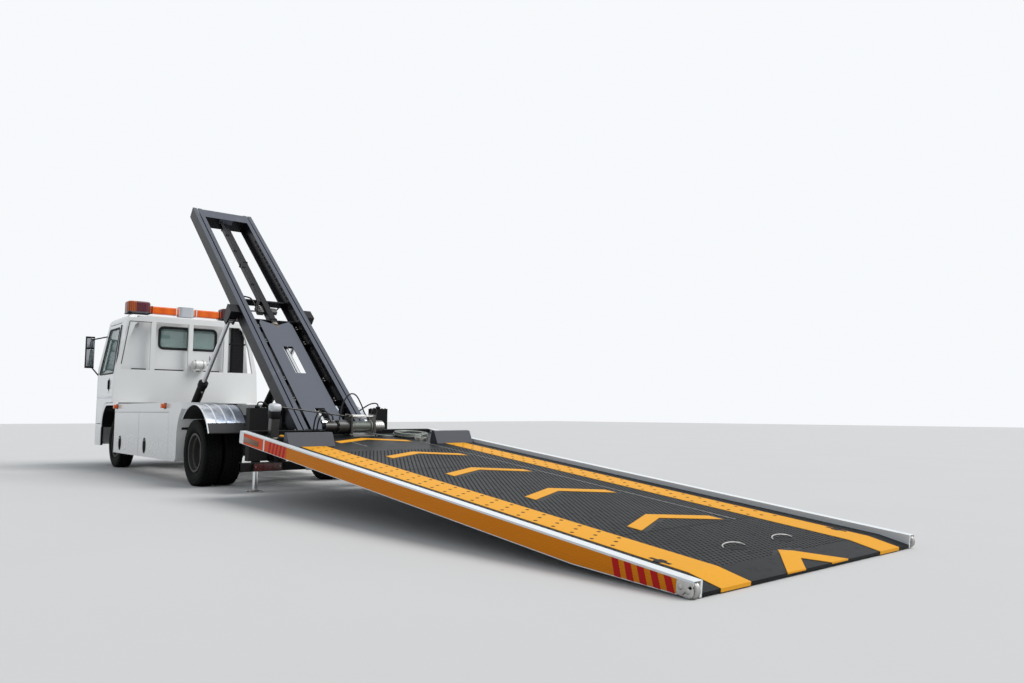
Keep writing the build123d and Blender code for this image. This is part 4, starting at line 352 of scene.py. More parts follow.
# Mesh work shared by the pieces
class Form:
    # gathers solids in one mesh, then puts them in place
    def __init__(self, place=onTruck):
        self.mesh = bmesh.new()
        self.place = place
        self.paints = []

    def paint(self, finish):
        if finish not in self.paints:
            self.paints.append(finish)
        return self.paints.index(finish)

    def add(self, points, faces, finish, smooth=False):
        slotIndex = self.paint(finish)
        made = [self.mesh.verts.new(point) for point in points]
        for loop in faces:
            face = self.mesh.faces.new([made[i] for i in loop])
            face.material_index = slotIndex
            face.smooth = smooth

    def block(self, low, high, finish, chamfer=0.0):
        # box between two corners, with its edges eased
        work = bmesh.new()
        bmesh.ops.create_cube(work, size=1.0)
        size = [max(abs(b - a), 1e-5) for a, b in zip(low, high)]
        middle = Vector([(a + b) / 2 for a, b in zip(low, high)])
        bmesh.ops.scale(work, vec=size, verts=work.verts)
        if chamfer:
            bmesh.ops.bevel(work, geom=work.edges[:], offset=min(chamfer, min(size) * 0.45), segments=2,
                            profile=0.5, affect="EDGES")
        bmesh.ops.translate(work, vec=middle, verts=work.verts)
        self.take(work, finish, bool(chamfer))

    def sideBlock(self, side, x, y, z, finish, chamfer=0.0):
        # block given by its two x, its two distances out on one side, and its two z
        near, far = sorted((side * y[0], side * y[1]))
        self.block((x[0], near, z[0]), (x[1], far, z[1]), finish, chamfer)

    def take(self, work, finish, smooth=False):
        work.verts.ensure_lookup_table()
        work.verts.index_update()
        self.add([v.co.copy() for v in work.verts], [[v.index for v in f.verts] for f in work.faces],
                 finish, smooth)
        work.free()

    def prism(self, outline, start, end, finish, chamfer=0.0):
        # flat outline of (x, z) pairs pushed along y
        work = bmesh.new()
        near = [work.verts.new((x, start, z)) for x, z in outline]
        far = [work.verts.new((x, end, z)) for x, z in outline]
        count = len(outline)
        work.faces.new(near)
        work.faces.new(far[::-1])
        for i in range(count):
            work.faces.new((near[i], far[i], far[(i + 1) % count], near[(i + 1) % count]))
        bmesh.ops.recalc_face_normals(work, faces=work.faces)
        if chamfer:
            bmesh.ops.bevel(work, geom=work.edges[:], offset=chamfer, segments=2, profile=0.5,
                            affect="EDGES")
        self.take(work, finish, bool(chamfer))

    def turned(self, profile, origin, axis, finish, steps=32, smooth=True):
        # closed or open profile of (along, radius) turned round an axis
        direction = Vector(axis).normalized()
        side = direction.orthogonal().normalized()
        up = direction.cross(side)
        rings = []
        work = bmesh.new()
        for along, radius in profile:
            centre = Vector(origin) + direction * along
            if radius < 1e-6:
                rings.append([work.verts.new(centre)])
            else:
                turns = [2 * pi * k / steps for k in range(steps)]
                rings.append([work.verts.new(centre + (side * cos(t) + up * sin(t)) * radius)
                              for t in turns])
        for first, second in zip(rings, rings[1:]):
            for k in range(steps):
                n = (k + 1) % steps
                if len(first) == 1 and len(second) > 1:
                    work.faces.new((first[0], second[n], second[k]))
                elif len(second) == 1 and len(first) > 1:
                    work.faces.new((first[k], first[n], second[0]))
                elif len(first) > 1:
                    work.faces.new((first[k], first[n], second[n], second[k]))
        bmesh.ops.remove_doubles(work, verts=work.verts, dist=1e-7)
        bmesh.ops.recalc_face_normals(work, faces=work.faces)
        self.take(work, finish, smooth)

    def rod(self, start, end, radius, finish, steps=16):
        start, end = Vector(start), Vector(end)
        length = (end - start).length
        ease = min(radius * 0.25, 0.004)
        self.turned(((0, 0), (0, radius - ease), (ease, radius), (length - ease, radius),
                     (length, radius - ease), (length, 0)), start, end - start, finish, steps)

    def hexBolt(self, origin, axis, width, height, finish):
        self.turned(((0, width * 0.75), (height * 0.2, width * 0.75), (height * 0.2, width * 0.5),
                     (height * 0.85, width * 0.5), (height, width * 0.42), (height, 0)), origin, axis,
                    finish, 6, False)

    def hose(self, points, radius, finish, steps=10):
        # tube along a smooth curve through the given control points
        curve = bpy.data.curves.new("hosePath", "CURVE")
        curve.dimensions = "3D"
        spline = curve.splines.new("NURBS")
        spline.points.add(len(points) - 1)
        for item, point in zip(spline.points, points):
            item.co = (*point, 1.0)
        spline.order_u = 3
        spline.use_endpoint_u = True
        spline.resolution_u = 6
        curve.bevel_depth = radius
        curve.bevel_resolution = max(1, steps // 4)
        curve.use_fill_caps = True
        holder = bpy.data.objects.new("hosePath", curve)
        bpy.context.scene.collection.objects.link(holder)
        bpy.context.view_layer.update()
        shape = bpy.data.meshes.new_from_object(holder.evaluated_get(bpy.context.evaluated_depsgraph_get()))
        work = bmesh.new()
        work.from_mesh(shape)
        bmesh.ops.remove_doubles(work, verts=work.verts, dist=1e-6)
        self.take(work, finish, True)
        bpy.data.objects.remove(holder)
        bpy.data.curves.remove(curve)
        bpy.data.meshes.remove(shape)

    def loft(self, rings, finish, capped=True, joined=False):
        # skin through closed rings of points; joined runs the last ring back to the first
        work = bmesh.new()
        loops = [[work.verts.new(point) for point in ring] for ring in rings]
        count = len(loops[0])
        pairs = list(zip(loops, loops[1:])) + ([(loops[-1], loops[0])] if joined else [])
        for first, second in pairs:
            for k in range(count):
                n = (k + 1) % count
                work.faces.new((first[k], first[n], second[n], second[k]))
        if capped and not joined:
            work.faces.new(loops[0][::-1])
            work.faces.new(loops[-1])
        bmesh.ops.recalc_face_normals(work, faces=work.faces)
        self.take(work, finish)

    def sweep(self, path, section, up, finish, closed=False):
        # section of (side, up) pairs carried along a path of points
        points = [Vector(point) for point in path]
        upward = Vector(up).normalized()
        count = len(points)
        rings = []
        for k, point in enumerate(points):
            before = points[k - 1] if closed or k else points[k]
            after = points[(k + 1) % count] if closed or k < count - 1 else points[k]
            along = (after - before).normalized()
            side = along.cross(upward).normalized()
            lift = side.cross(along).normalized()
            rings.append([point + side * s + lift * u for s, u in section])
        self.loft(rings, finish, True, closed)

    def grown(self, shape, matrix, finish):
        # a plain mesh, such as one made by Geometry Nodes, put in place
        copy = shape.copy()
        copy.transform(matrix)
        copy.polygons.foreach_set("material_index", [self.paint(finish)] * len(copy.polygons))
        self.mesh.from_mesh(copy)
        bpy.data.meshes.remove(copy)

    def piece(self, name, body, replaced=()):
        bmesh.ops.transform(self.mesh, matrix=self.place, verts=self.mesh.verts)
        shape = bpy.data.meshes.new(name)
        self.mesh.to_mesh(shape)
        self.mesh.free()
        for finish in self.paints:
            shape.materials.append(finish.material)
        made = bpy.data.objects.new(name, shape)
        bpy.context.scene.collection.objects.link(made)
        return settle(made, body, replaced)


def settle(made, body, replaced=()):
    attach(made, body)
    if replaced:
        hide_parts(*replaced)
    print(f"{made.name}: {len(made.data.polygons)} faces on {body}")
    return made


# Geometry Nodes: a tree with named inputs, run on an empty mesh and turned into a plain one
class Growth:
    def __init__(self, name, **sizes):
        self.tree = bpy.data.node_groups.new(name, "GeometryNodeTree")
        self.tree.interface.new_socket("Geometry", in_out="OUTPUT", socket_type="NodeSocketGeometry")
        self.identifiers = {}
        for label, value in {**sizes, "Finish": None}.items():
            kind = "Material" if value is None else ("Int" if isinstance(value, int) else "Float")
            socket = self.tree.interface.new_socket(label, in_out="INPUT", socket_type="NodeSocket" + kind)
            if value is not None:
                socket.default_value = value
            self.identifiers[label] = socket.identifier
        self.source = self.tree.nodes.new("NodeGroupInput")

    def get(self, label):
        return Sock(self.tree, self.source.outputs[label])

    def node(self, kind, settings=(), out=0, **sockets):
        made = self.tree.nodes.new(kind)
        for name, value in dict(settings).items():
            setattr(made, name, value)
        for name, value in sockets.items():
            link(self.tree, value, made.inputs[name.replace("_", " ")])
        return Sock(self.tree, made.outputs[out])

    def vector(self, x=0.0, y=0.0, z=0.0):
        return self.node("ShaderNodeCombineXYZ", X=x, Y=y, Z=z)

    def place(self):
        split = self.tree.nodes.new("ShaderNodeSeparateXYZ")
        self.tree.links.new(self.node("GeometryNodeInputPosition").out, split.inputs[0])
        return [Sock(self.tree, split.outputs[part]) for part in range(3)]

    def staggered(self, along, across, pitch, lane):
        # grid from x = 0 backward, every second row moved half a lane sideways
        rows = (along / pitch).math("ROUND", along / pitch) + 1.0
        lanes = (across / lane).math("ROUND", across / lane) + 1.0
        grid = self.node("GeometryNodeMeshGrid", Size_X=along, Size_Y=across, Vertices_X=rows,
                         Vertices_Y=lanes)
        order = self.node("GeometryNodeInputIndex") / lanes
        row = order.math("FLOOR", order + 0.001)
        odd = row.math("FLOORED_MODULO", row, 2.0)
        return self.node("GeometryNodeSetPosition", Geometry=grid,
                         Offset=self.vector(along / -2.0, odd * lane / 2.0, 0.0))

    def lanes(self):
        # points in lanes: Count along x at Pitch, Lanes across y, each lane moved along by Skew
        total = self.get("Count") * self.get("Lanes")
        line = self.node("GeometryNodeMeshLine", Count=total, Offset=self.vector(0.0, 0.0, 0.0))
        spot = self.node("GeometryNodeInputIndex")
        lane = spot.math("FLOORED_MODULO", spot, self.get("Lanes"))
        step = (spot - lane) / self.get("Lanes")
        along = step * self.get("Pitch") + lane * self.get("Skew")
        return self.node("GeometryNodeSetPosition", Geometry=line,
                         Offset=self.vector(along, lane * self.get("LanePitch"), 0.0))

    def copies(self, points, shape, turn=None, scale=None):
        sockets = {"Points": points, "Instance": shape}
        if turn is not None:
            sockets["Rotation"] = turn
        if scale is not None:
            sockets["Scale"] = scale
        return self.node("GeometryNodeInstanceOnPoints", **sockets)

    def close(self, geometry):
        real = self.node("GeometryNodeRealizeInstances", Geometry=geometry)
        dressed = self.node("GeometryNodeSetMaterial", Geometry=real, Material=self.get("Finish"))
        self.tree.links.new(dressed.out, self.tree.nodes.new("NodeGroupOutput").inputs[0])
        return self

    def grow(self, finish, **values):
        holder = bpy.data.objects.new("grown", bpy.data.meshes.new("grown"))
        modifier = holder.modifiers.new("grow", "NODES")
        modifier.node_group = self.tree
        for label, value in values.items():
            modifier[self.identifiers[label]] = value
        modifier[self.identifiers["Finish"]] = finish.material
        bpy.context.scene.collection.objects.link(holder)
        shape = bpy.data.meshes.new_from_object(holder.evaluated_get(bpy.context.evaluated_depsgraph_get()))
        bpy.data.objects.remove(holder)
        return shape


def studField():
    # low oval studs on a staggered grid, with the places under V-shaped marks left out
    growth = Growth("studField", Along=1.0, Across=1.0, Pitch=0.034, Lane=0.04, StudAlong=0.026,
                    StudAcross=0.012, StudHigh=0.0025, Taper=0.62, MarkStart=0.0, MarkPitch=1.0,
                    MarkLean=0.5, MarkWide=0.12, MarkHalf=0.0, Sides=6)
    get = growth.get
    grid = growth.staggered(get("Along"), get("Across"), get("Pitch"), get("Lane"))
    x, y = growth.place()[:2]
    behind = (0.0 - x) - get("MarkStart") - y.size() * get("MarkLean")
    marked = (behind.math("FLOORED_MODULO", behind, get("MarkPitch")) < get("MarkWide")) * (
        y.size() < get("MarkHalf"))
    kept = growth.node("GeometryNodeDeleteGeometry", Geometry=grid, Selection=marked > 0.5)
    stud = growth.node("GeometryNodeMeshCone", Vertices=get("Sides"), Radius_Top=get("Taper"),
                       Radius_Bottom=1.0, Depth=1.0)
    size = growth.vector(get("StudAlong") / 2.0, get("StudAcross") / 2.0, get("StudHigh"))
    return growth.close(growth.copies(kept, stud, scale=size))


def treadRing():
    # tread blocks set round a tyre, which turns about y
    growth = Growth("treadRing", Count=56, Radius=0.395, Phase=0.0, Long=0.03, Wide=0.03, High=0.012,
                    Skew=0.0)
    get = growth.get
    circle = growth.node("GeometryNodeMeshCircle", Vertices=get("Count"), Radius=get("Radius"))
    turn = growth.node("GeometryNodeInputIndex") * (2.0 * pi) / get("Count")
    block = growth.node("GeometryNodeMeshCube", Size=growth.vector(get("High"), get("Long"), get("Wide")))
    skewed = growth.node("GeometryNodeTransform", Geometry=block,
                         Rotation=growth.vector(get("Skew"), 0.0, 0.0))
    ring = growth.copies(circle, skewed, turn=growth.vector(0.0, 0.0, turn))
    return growth.close(growth.node("GeometryNodeTransform", Geometry=ring,
                                    Rotation=growth.vector(pi / 2, get("Phase"), 0.0)))


def nutRing():
    # hexagon nuts on a bolt circle, standing along +y
    growth = Growth("nutRing", Count=6, Radius=0.1, Width=0.03, High=0.02, Sides=6)
    get = growth.get
    circle = growth.node("GeometryNodeMeshCircle", Vertices=get("Count"), Radius=get("Radius"))
    nut = growth.node("GeometryNodeMeshCone", Vertices=get("Sides"), Radius_Top=0.44, Radius_Bottom=0.5,
                      Depth=1.0)
    size = growth.vector(get("Width"), get("Width"), get("High"))
    return growth.close(growth.node("GeometryNodeTransform",
                                    Geometry=growth.copies(circle, nut, scale=size),
                                    Rotation=growth.vector(-pi / 2, 0.0, 0.0)))


def boxRow():
    # boxes in lanes
    growth = Growth("boxRow", Count=8, Pitch=0.05, Lanes=1, LanePitch=0.05, Skew=0.0, Long=0.02, Wide=0.02,
                    High=0.02)
    get = growth.get
    spread = growth.lanes()
    block = growth.node("GeometryNodeMeshCube", Size=growth.vector(get("Long"), get("Wide"), get("High")))
    return growth.close(growth.copies(spread, block))


def studRow():
    # round or hexagon heads in lanes, standing along +z
    growth = Growth("studRow", Count=8, Pitch=0.05, Lanes=1, LanePitch=0.05, Skew=0.0, Width=0.02,
                    High=0.01, Sides=6, Taper=0.85)
    get = growth.get
    spread = growth.lanes()
    head = growth.node("GeometryNodeMeshCone", Vertices=get("Sides"), Radius_Top=get("Taper"),
                       Radius_Bottom=1.0, Depth=1.0)
    size = growth.vector(get("Width") / 2.0, get("Width") / 2.0, get("High"))
    return growth.close(growth.copies(spread, head, scale=size))


studTree, treadTree, nutTree, boxTree, headTree = studField(), treadRing(), nutRing(), boxRow(), studRow()


def at(x, y, z, turn=0.0, axis="Z"):
    return Matrix.Translation((x, y, z)) @ Matrix.Rotation(turn, 4, axis)


def facingSide(x, y, z, side):
    # rows that run along x on a wall that faces +y or -y
    return at(x, y, z, -side * pi / 2, "X")


def ellipse(x, z, wide, high, count):
    return [(x + wide * cos(2 * pi * k / count), z + high * sin(2 * pi * k / count)) for k in range(count)]


# Tow cable: off the drum's underside, a loose coil on the deck, and into the eye of the hook
towCable = {"radius": 0.006, "drumBack": 0.190, "leadLeft": -0.150, "leadLevel": 0.0307,
            "fall": atan2(0.0244, 0.280), "lead": ((0, 0), (-0.070, -0.006), (-0.150, -0.040),
                                                   (-0.215, -0.110), (-0.235, -0.200)),
            "landing": ((-0.410, -0.375, 0.0111), (-0.404, -0.405, 0.0085), (-0.388, -0.428, 0.0070),
                        (-0.364, -0.440, 0.0066)), "coilX": -0.390, "coilY": -0.640, "outer": 0.2025,
            "pitch": 0.0145, "turns": 5, "layers": 4, "layerHigh": 0.0125, "firstTurn": radians(75),
            "pointsPerTurn": 16, "wobble": 0.0012, "climb": 0.25, "climbOut": 0.0038, "tailSteps": 5,
            "hookX": -0.6405, "hookY": -0.5725, "length": 20.7}


def cablePoints(c):
    points = [(-c["drumBack"] + p, c["leadLeft"] + q * cos(c["fall"]), c["leadLevel"] + q * sin(c["fall"]))
              for p, q in c["lead"]]
    points += list(c["landing"])
    turnAt = c["firstTurn"]
    inner = c["outer"] - c["turns"] * c["pitch"]
    for layer in range(c["layers"]):
        outward = layer % 2 == 1
        steps = c["turns"] * c["pointsPerTurn"]
        if layer == c["layers"] - 1:
            steps -= c["tailSteps"]
        for step in range(steps):
            along = step / c["pointsPerTurn"]
            radius = inner + c["pitch"] * along if outward else c["outer"] - c["pitch"] * along
            level = c["radius"] + 0.0003 + layer * c["layerHigh"]
            if layer and along < c["climb"]:
                share = along / c["climb"]
                level -= c["layerHigh"] * (1 - share)
                radius += (-1 if outward else 1) * c["climbOut"] * sin(pi * share)
            radius = min(radius, c["outer"]) + c["wobble"] * sin(3.0 * turnAt)
            points.append((c["coilX"] + radius * cos(turnAt), c["coilY"] + radius * sin(turnAt), level))
            turnAt -= 2 * pi / c["pointsPerTurn"]
    return points, turnAt


cableRoute, lastTurn = cablePoints(towCable)
lastPoint = Vector(cableRoute[-1])
eyePoint = Vector((towCable["hookX"], towCable["hookY"], 0.0130))
for share, level in ((0.35, 1.0), (0.60, 0.80), (0.82, 0.45)):
    tailPoint = lastPoint.lerp(eyePoint, share)
    cableRoute.append((tailPoint.x, tailPoint.y, lastPoint.z * level))
cableRoute.append(tuple(eyePoint))
cableCurve = bpy.data.curves.new("towCable", "CURVE")
cableCurve.dimensions = "3D"
cableLine = cableCurve.splines.new("NURBS")
cableLine.points.add(len(cableRoute) - 1)
for item, point in zip(cableLine.points, cableRoute):
    item.co = (*(onBed @ Vector(point)), 1.0)
cableLine.order_u = 3
cableLine.use_endpoint_u = True
cableLine.resolution_u = 3
cableCurve.bevel_depth = towCable["radius"]
cableCurve.bevel_resolution = 2
cableCurve.use_fill_caps = True
cableCurve.materials.append(ropeSteel.material)
cablePiece = bpy.data.objects.new("towCable", cableCurve)
bpy.context.scene.collection.objects.link(cablePiece)
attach(cablePiece, "bed")
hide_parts("cable_lead", "cable_coil")
print("towCable:", len(cableRoute), "points, last turn at", round(degrees(lastTurn) % 360), "degrees")

# Deck: studs, yellow strips with their holes, arrows, slots and seams
deck = {"studStart": 1.35, "studEnd": 5.545, "studHalf": 0.690, "sideInner": 0.995, "sideAcross": 0.10,
        "stripInner": 0.714, "stripOuter": 0.973, "stripStart": 0.950, "bevelStart": 5.560, "end": 5.766,
        "bevelDrop": 0.026, "endLow": -0.045, "stripThick": 0.0024, "arrowThick": 0.0032,
        "arrowApex": (0.46, 1.47, 2.44, 3.46, 4.47), "arrowMiddle": 0.030, "arrowArm": 0.43,
        "arrowLean": 0.5, "arrowBand": 0.12, "arrowPitch": 1.003, "tailApex": 5.50, "tailLean": 0.8,
        "tailBand": 0.15, "holeRows": 24, "holePitch": 0.168, "holeStart": 1.02, "lanePitch": 0.088,
        "laneSkew": -0.056, "holeWide": 0.027, "slotBack": 5.350, "slotPlaces": (0.938, -0.948),
        "ovalPlaces": ((5.330, 0.228), (5.337, -0.290)), "seamPlace": -0.50, "seamStart": 0.78,
        "seamEnd": 4.84}


def slopeAt(back):
    # height of the deck's surface at a distance back from its front edge
    return -max(0.0, back - deck["bevelStart"]) / (deck["end"] - deck["bevelStart"]) * deck["bevelDrop"]


def studs():
    form = Form(onBed)
    sizes = {"Along": deck["studEnd"] - deck["studStart"], "MarkPitch": deck["arrowPitch"],
             "MarkLean": deck["arrowLean"], "MarkStart": deck["arrowApex"][1] - deck["studStart"] - 0.014,
             "MarkWide": deck["arrowBand"] + 0.028}
    form.grown(studTree.grow(deckBlack, Across=2 * deck["studHalf"], MarkHalf=deck["arrowArm"] + 0.02,
                             **sizes), at(-deck["studStart"], 0, 0), deckBlack)
    for side in (1, -1):
        middle = side * (deck["sideInner"] + deck["sideAcross"] / 2)
        form.grown(studTree.grow(deckBlack, Across=deck["sideAcross"] - 0.02, MarkHalf=0.0, **sizes),
                   at(-deck["studStart"], middle - 0.01, 0), deckBlack)
    form.piece("deckStuds", "bed")


def strips():
    form = Form(onBed)
    lip = 0.0025
    top = deck["stripThick"]
    start, bend, end, low = -deck["stripStart"], -deck["bevelStart"], -deck["end"] - 0.0004, deck["endLow"]
    outline = [(start, 0.0002), (bend, 0.0002), (end, -deck["bevelDrop"]), (end, low), (end - lip, low),
               (end - lip, -deck["bevelDrop"] + top * 0.6), (end - lip * 0.4, -deck["bevelDrop"] + top),
               (bend - 0.0005, top), (start, top)]
    for side in (1, -1):
        near, far = sorted((side * deck["stripInner"], side * deck["stripOuter"]))
        form.prism(outline, near, far, stripYellow)
        first = side * (deck["stripInner"] + deck["stripOuter"]) / 2 - deck["lanePitch"]
        # the perforations are dark discs: painted shade in the holes
        form.grown(headTree.grow(shadeAndSeamDark, Count=deck["holeRows"], Pitch=deck["holePitch"], Lanes=3,
                                 LanePitch=deck["lanePitch"], Skew=side * deck["laneSkew"],
                                 Width=deck["holeWide"], High=0.0006, Sides=12, Taper=1.0),
                   at(-deck["holeStart"] - (deck["holeRows"] - 1) * deck["holePitch"], first, top),
                   shadeAndSeamDark)
    form.piece("deckStrips", "bed")


def sheetOn(form, outline, thick, finish):
    # flat mark with straight sides that follows the deck and its bevel
    work = bmesh.new()
    low = [work.verts.new((-back, y, slopeAt(back) + 0.0002)) for back, y in outline]
    high = [work.verts.new((-back, y, slopeAt(back) + thick)) for back, y in outline]
    count = len(outline)
    work.faces.new(low[::-1])
    work.faces.new(high)
    for k in range(count):
        work.faces.new((low[k], low[(k + 1) % count], high[(k + 1) % count], high[k]))
    bmesh.ops.recalc_face_normals(work, faces=work.faces)
    form.take(work, finish)


def arrows():
    form = Form(onBed)
    middle, arm, thick = deck["arrowMiddle"], deck["arrowArm"], deck["arrowThick"]
    for apex in deck["arrowApex"]:
        reach = arm * deck["arrowLean"]
        band = deck["arrowBand"]
        sheetOn(form, [(apex, middle), (apex + reach, middle + arm), (apex + reach + band, middle + arm),
                       (apex + band, middle), (apex + reach + band, middle - arm),
                       (apex + reach, middle - arm)], thick, stripYellow)
    apex, lean, bend, end = deck["tailApex"], deck["tailLean"], deck["bevelStart"], deck["end"]
    shoulder = (bend - apex) / lean
    outer, inner = (end - apex) / lean, (end - apex - deck["tailBand"]) / lean
    sheetOn(form, [(apex, middle), (bend, middle + shoulder), (bend, middle - shoulder)], thick,
            stripYellow)
    sheetOn(form, [(bend, middle - shoulder), (bend, middle + shoulder), (end, middle + outer),
                   (end, middle + inner), (apex + deck["tailBand"], middle), (end, middle - inner),
                   (end, middle - outer)], thick, stripYellow)
    for side in (1, -1):
        near, far = sorted((middle + side * inner, middle + side * outer))
        form.block((-end - 0.003, near, deck["endLow"] + 0.012), (-end - 0.0004, far,
                                                                  thick - deck["bevelDrop"]), stripYellow,
                   0.0008)
    form.piece("deckArrows", "bed")


def slots():
    form = Form(onBed)
    back = deck["slotBack"]
    for y in deck["slotPlaces"]:
        key = [(-0.072, -0.014), (-0.030, -0.014), (-0.022, -0.036), (0.022, -0.036), (0.030, -0.014),
               (0.072, -0.014), (0.072, 0.014), (0.030, 0.014), (0.022, 0.036), (-0.022, 0.036),
               (-0.030, 0.014), (-0.072, 0.014)]
        # keyhole slots as dark sheets: painted shade in the slots
        sheetOn(form, [(back + a, y + b) for a, b in key], deck["stripThick"] + 0.0008, shadeAndSeamDark)
    for back, y in deck["ovalPlaces"]:
        # oval pockets as dark sheets: painted shade in the recesses
        oval = ellipse(back + 0.030, y, 0.034, 0.072, 24)
        sheetOn(form, oval, 0.0012, shadeAndSeamDark)
        rim = [(-back + 0.050 * cos(angle), y + 0.098 * sin(angle), 0.0035 + 0.010 * sin(pi * k / 12))
               for k, angle in enumerate([pi * j / 12 - pi * 0.55 for j in range(13)])]
        form.hose(rim, 0.0040, castMetal, 8)
    form.block((-deck["seamEnd"], deck["seamPlace"] - 0.002, -0.001),
               (-deck["seamStart"], deck["seamPlace"] + 0.002, 0.0036), castMetal, 0.0004)
    form.block((-1.06, 0.300, -0.001), (-0.74, 0.305, 0.0036), castMetal, 0.0004)
    for seam in (2.38, 4.84):
        form.block((-seam - 0.002, -1.10, -0.001), (-seam + 0.002, 1.10, 0.0011), shadeAndSeamDark, 0.0004)
    form.block((-0.640, 0.985, 0.0), (-0.560, 1.045, 0.052), blackTrim, 0.006)
    form.block((-0.632, 0.998, 0.050), (-0.590, 1.030, 0.068), stripYellow, 0.004)
    form.rod((-0.60, 1.045, 0.035), (-0.60, 1.100, 0.035), 0.008, nutSteel, 10)
    form.piece("deckFittings", "bed")


studs()
strips()
arrows()
slots()

# Side rails: fluted panels, stripes, reflectors and the cast ends that hold the rollers
rail = {"bed": 1.1949, "crest": 1.1976, "high": 0.0245, "low": -0.0840, "taperStart": 4.940,
        "taperRise": 0.042, "panelStart": 0.104, "panelEnd": 5.664, "flutes": 6,
        "stripeFront": (0.734, 0.080, 0.042, 0.030), "stripeTail": (5.232, 0.088, 0.046, -0.030),
        "stripes": 5, "plateStart": 0.108, "plateEnd": 0.609, "barEnd": 0.640, "rollerX": -5.736,
        "rollerZ": -0.011}


def lowEdge(back):
    # underside of the recess, which rises towards the tail
    return rail["low"] + max(0.0,
                             back - rail["taperStart"]) / (5.766 - rail["taperStart"]) * rail["taperRise"]


def panelRing(back, side):
    low, high, waves = lowEdge(back), rail["high"], rail["flutes"] * 4
    outer = []
    for k in range(waves + 1):
        bulge = (0.0, 0.75, 1.0, 0.75)[k % 4]
        outer.append((-back, side * (rail["bed"] + (rail["crest"] - rail["bed"]) * (0.25 + 0.75 * bulge)),
                      low + (high - low) * k / waves))
    return outer + [(-back, side * rail["bed"], high), (-back, side * rail["bed"], low)]


def slantedMark(form, side, start, wide, lean, finish, proud):
    # stripe on the panel: start is the back place of its foot, lean how far its head is moved back
    foot, head = lowEdge(start) + 0.0006, rail["high"] - 0.0006
    corners = [(-start, foot), (-start - wide, foot), (-start - wide - lean, head), (-start - lean, head)]
    near, far = sorted((side * rail["bed"], side * (rail["crest"] + proud)))
    form.prism(corners, near, far, finish)


def railPanels(form, side):
    form.loft([panelRing(back, side) for back in (rail["panelStart"], 2.5, rail["taperStart"],
                                                  rail["panelEnd"])], railAmber)
    for start, pitch, wide, lean in (rail["stripeFront"], rail["stripeTail"]):
        for k in range(rail["stripes"]):
            slantedMark(form, side, start + k * pitch + (0 if lean > 0 else -lean), wide, lean, markRed,
                        0.0007)
    slantedMark(form, side, rail["barEnd"], rail["stripeFront"][0] + 0.41 - rail["barEnd"], 0.0, markOrange,
                0.0003)
    slantedMark(form, side, 0.002, rail["plateStart"] - 0.002, 0.0, stripWhite, 0.0008)
    slantedMark(form, side, rail["plateStart"], rail["plateEnd"] - rail["plateStart"], 0.0, markOrange,
                0.0008)
    slantedMark(form, side, rail["plateEnd"], rail["barEnd"] - rail["plateEnd"], 0.0, stripWhite, 0.0009)
    form.sideBlock(side, (-0.500, -0.116), (1.1975, 1.1988), (-0.064, -0.010), markDark, 0.0002)


def railEnds(form, side):
    # cast cheek over the roller, thin cap above it and the open end of the rail
    near, far = sorted((side * 1.1885, side * 1.1972))
    cheek = [(-5.6645, 0.0245), (-5.6645, lowEdge(5.6645)), (-5.700, -0.050)]
    cheek += [(-5.734 - 0.034 * sin(k * pi / 8), -0.018 - 0.034 * cos(k * pi / 8)) for k in range(9)]
    cheek += [(-5.762, 0.0000), (-5.762, 0.0245)]
    form.prism(cheek, near, far, castMetal, 0.0012)
    form.sideBlock(side, (-5.766, -5.668), (1.130, 1.195), (0.0346, 0.0370), stripWhite, 0.0006)
    form.sideBlock(side, (-5.766, -5.660), (1.1915, 1.195), (0.0145, 0.0365), stripWhite, 0.0006)
    for x, z in ((-5.690, -0.006), (-5.736, -0.018)):
        form.turned(((-0.001, 0.0), (-0.001, 0.016), (0.0, 0.016), (0.0006, 0.0145), (0.0006, 0.0)),
                    (x, side * 1.1974, z), (0, -side, 0), castMetal, 20)
        form.turned(((0.0, 0.0), (0.0, 0.0105), (0.002, 0.0105), (0.003, 0.009), (0.003, 0.0)),
                    (x, side * 1.1968, z), (0, side, 0), castMetal, 20)


def railRollers(form, side):
    # grooved ramp wheel between the cheek and the rail's web
    profile = ((0.0, 0.013), (0.0, 0.038), (0.003, 0.0435), (0.006, 0.045), (0.014, 0.045), (0.016, 0.0435),
               (0.020, 0.0435), (0.022, 0.045), (0.030, 0.045), (0.033, 0.0435), (0.036, 0.038),
               (0.036, 0.013), (0.0, 0.013))
    form.turned(profile, (rail["rollerX"], side * 1.1502, rail["rollerZ"]), (0, side, 0), rollerMetal, 40)
    form.rod((rail["rollerX"], side * 1.149, rail["rollerZ"]), (rail["rollerX"], side * 1.188,
                                                                rail["rollerZ"]), 0.0118, nutSteel, 16)


for word, side in sides:
    for name, build, body, slotName, replaced in (("railPanel", railPanels, "bed", "rail_amber", ()),
                                                  ("railEnd", railEnds, "bed", "winch_metal", ()),
                                                  ("rampRoller", railRollers, word.lower() + "_ramp_roller",
                                                   "winch_metal", ("roller_" + word.lower(),))):
        form = Form(onBed)
        build(form, side)
        form.piece(name + word, body, replaced)

# Winch: the wound drum, bolted covers, hydraulic hoses and the head of the clutch pedestal
winch = {"back": 0.190, "axis": 0.095, "left": 0.0295, "right": -0.2045, "core": 0.0530,
         "ropePitch": 0.01170, "gearFace": 0.196, "gearBolts": 0.062, "motorEnd": 0.346, "capEnd": -0.361}


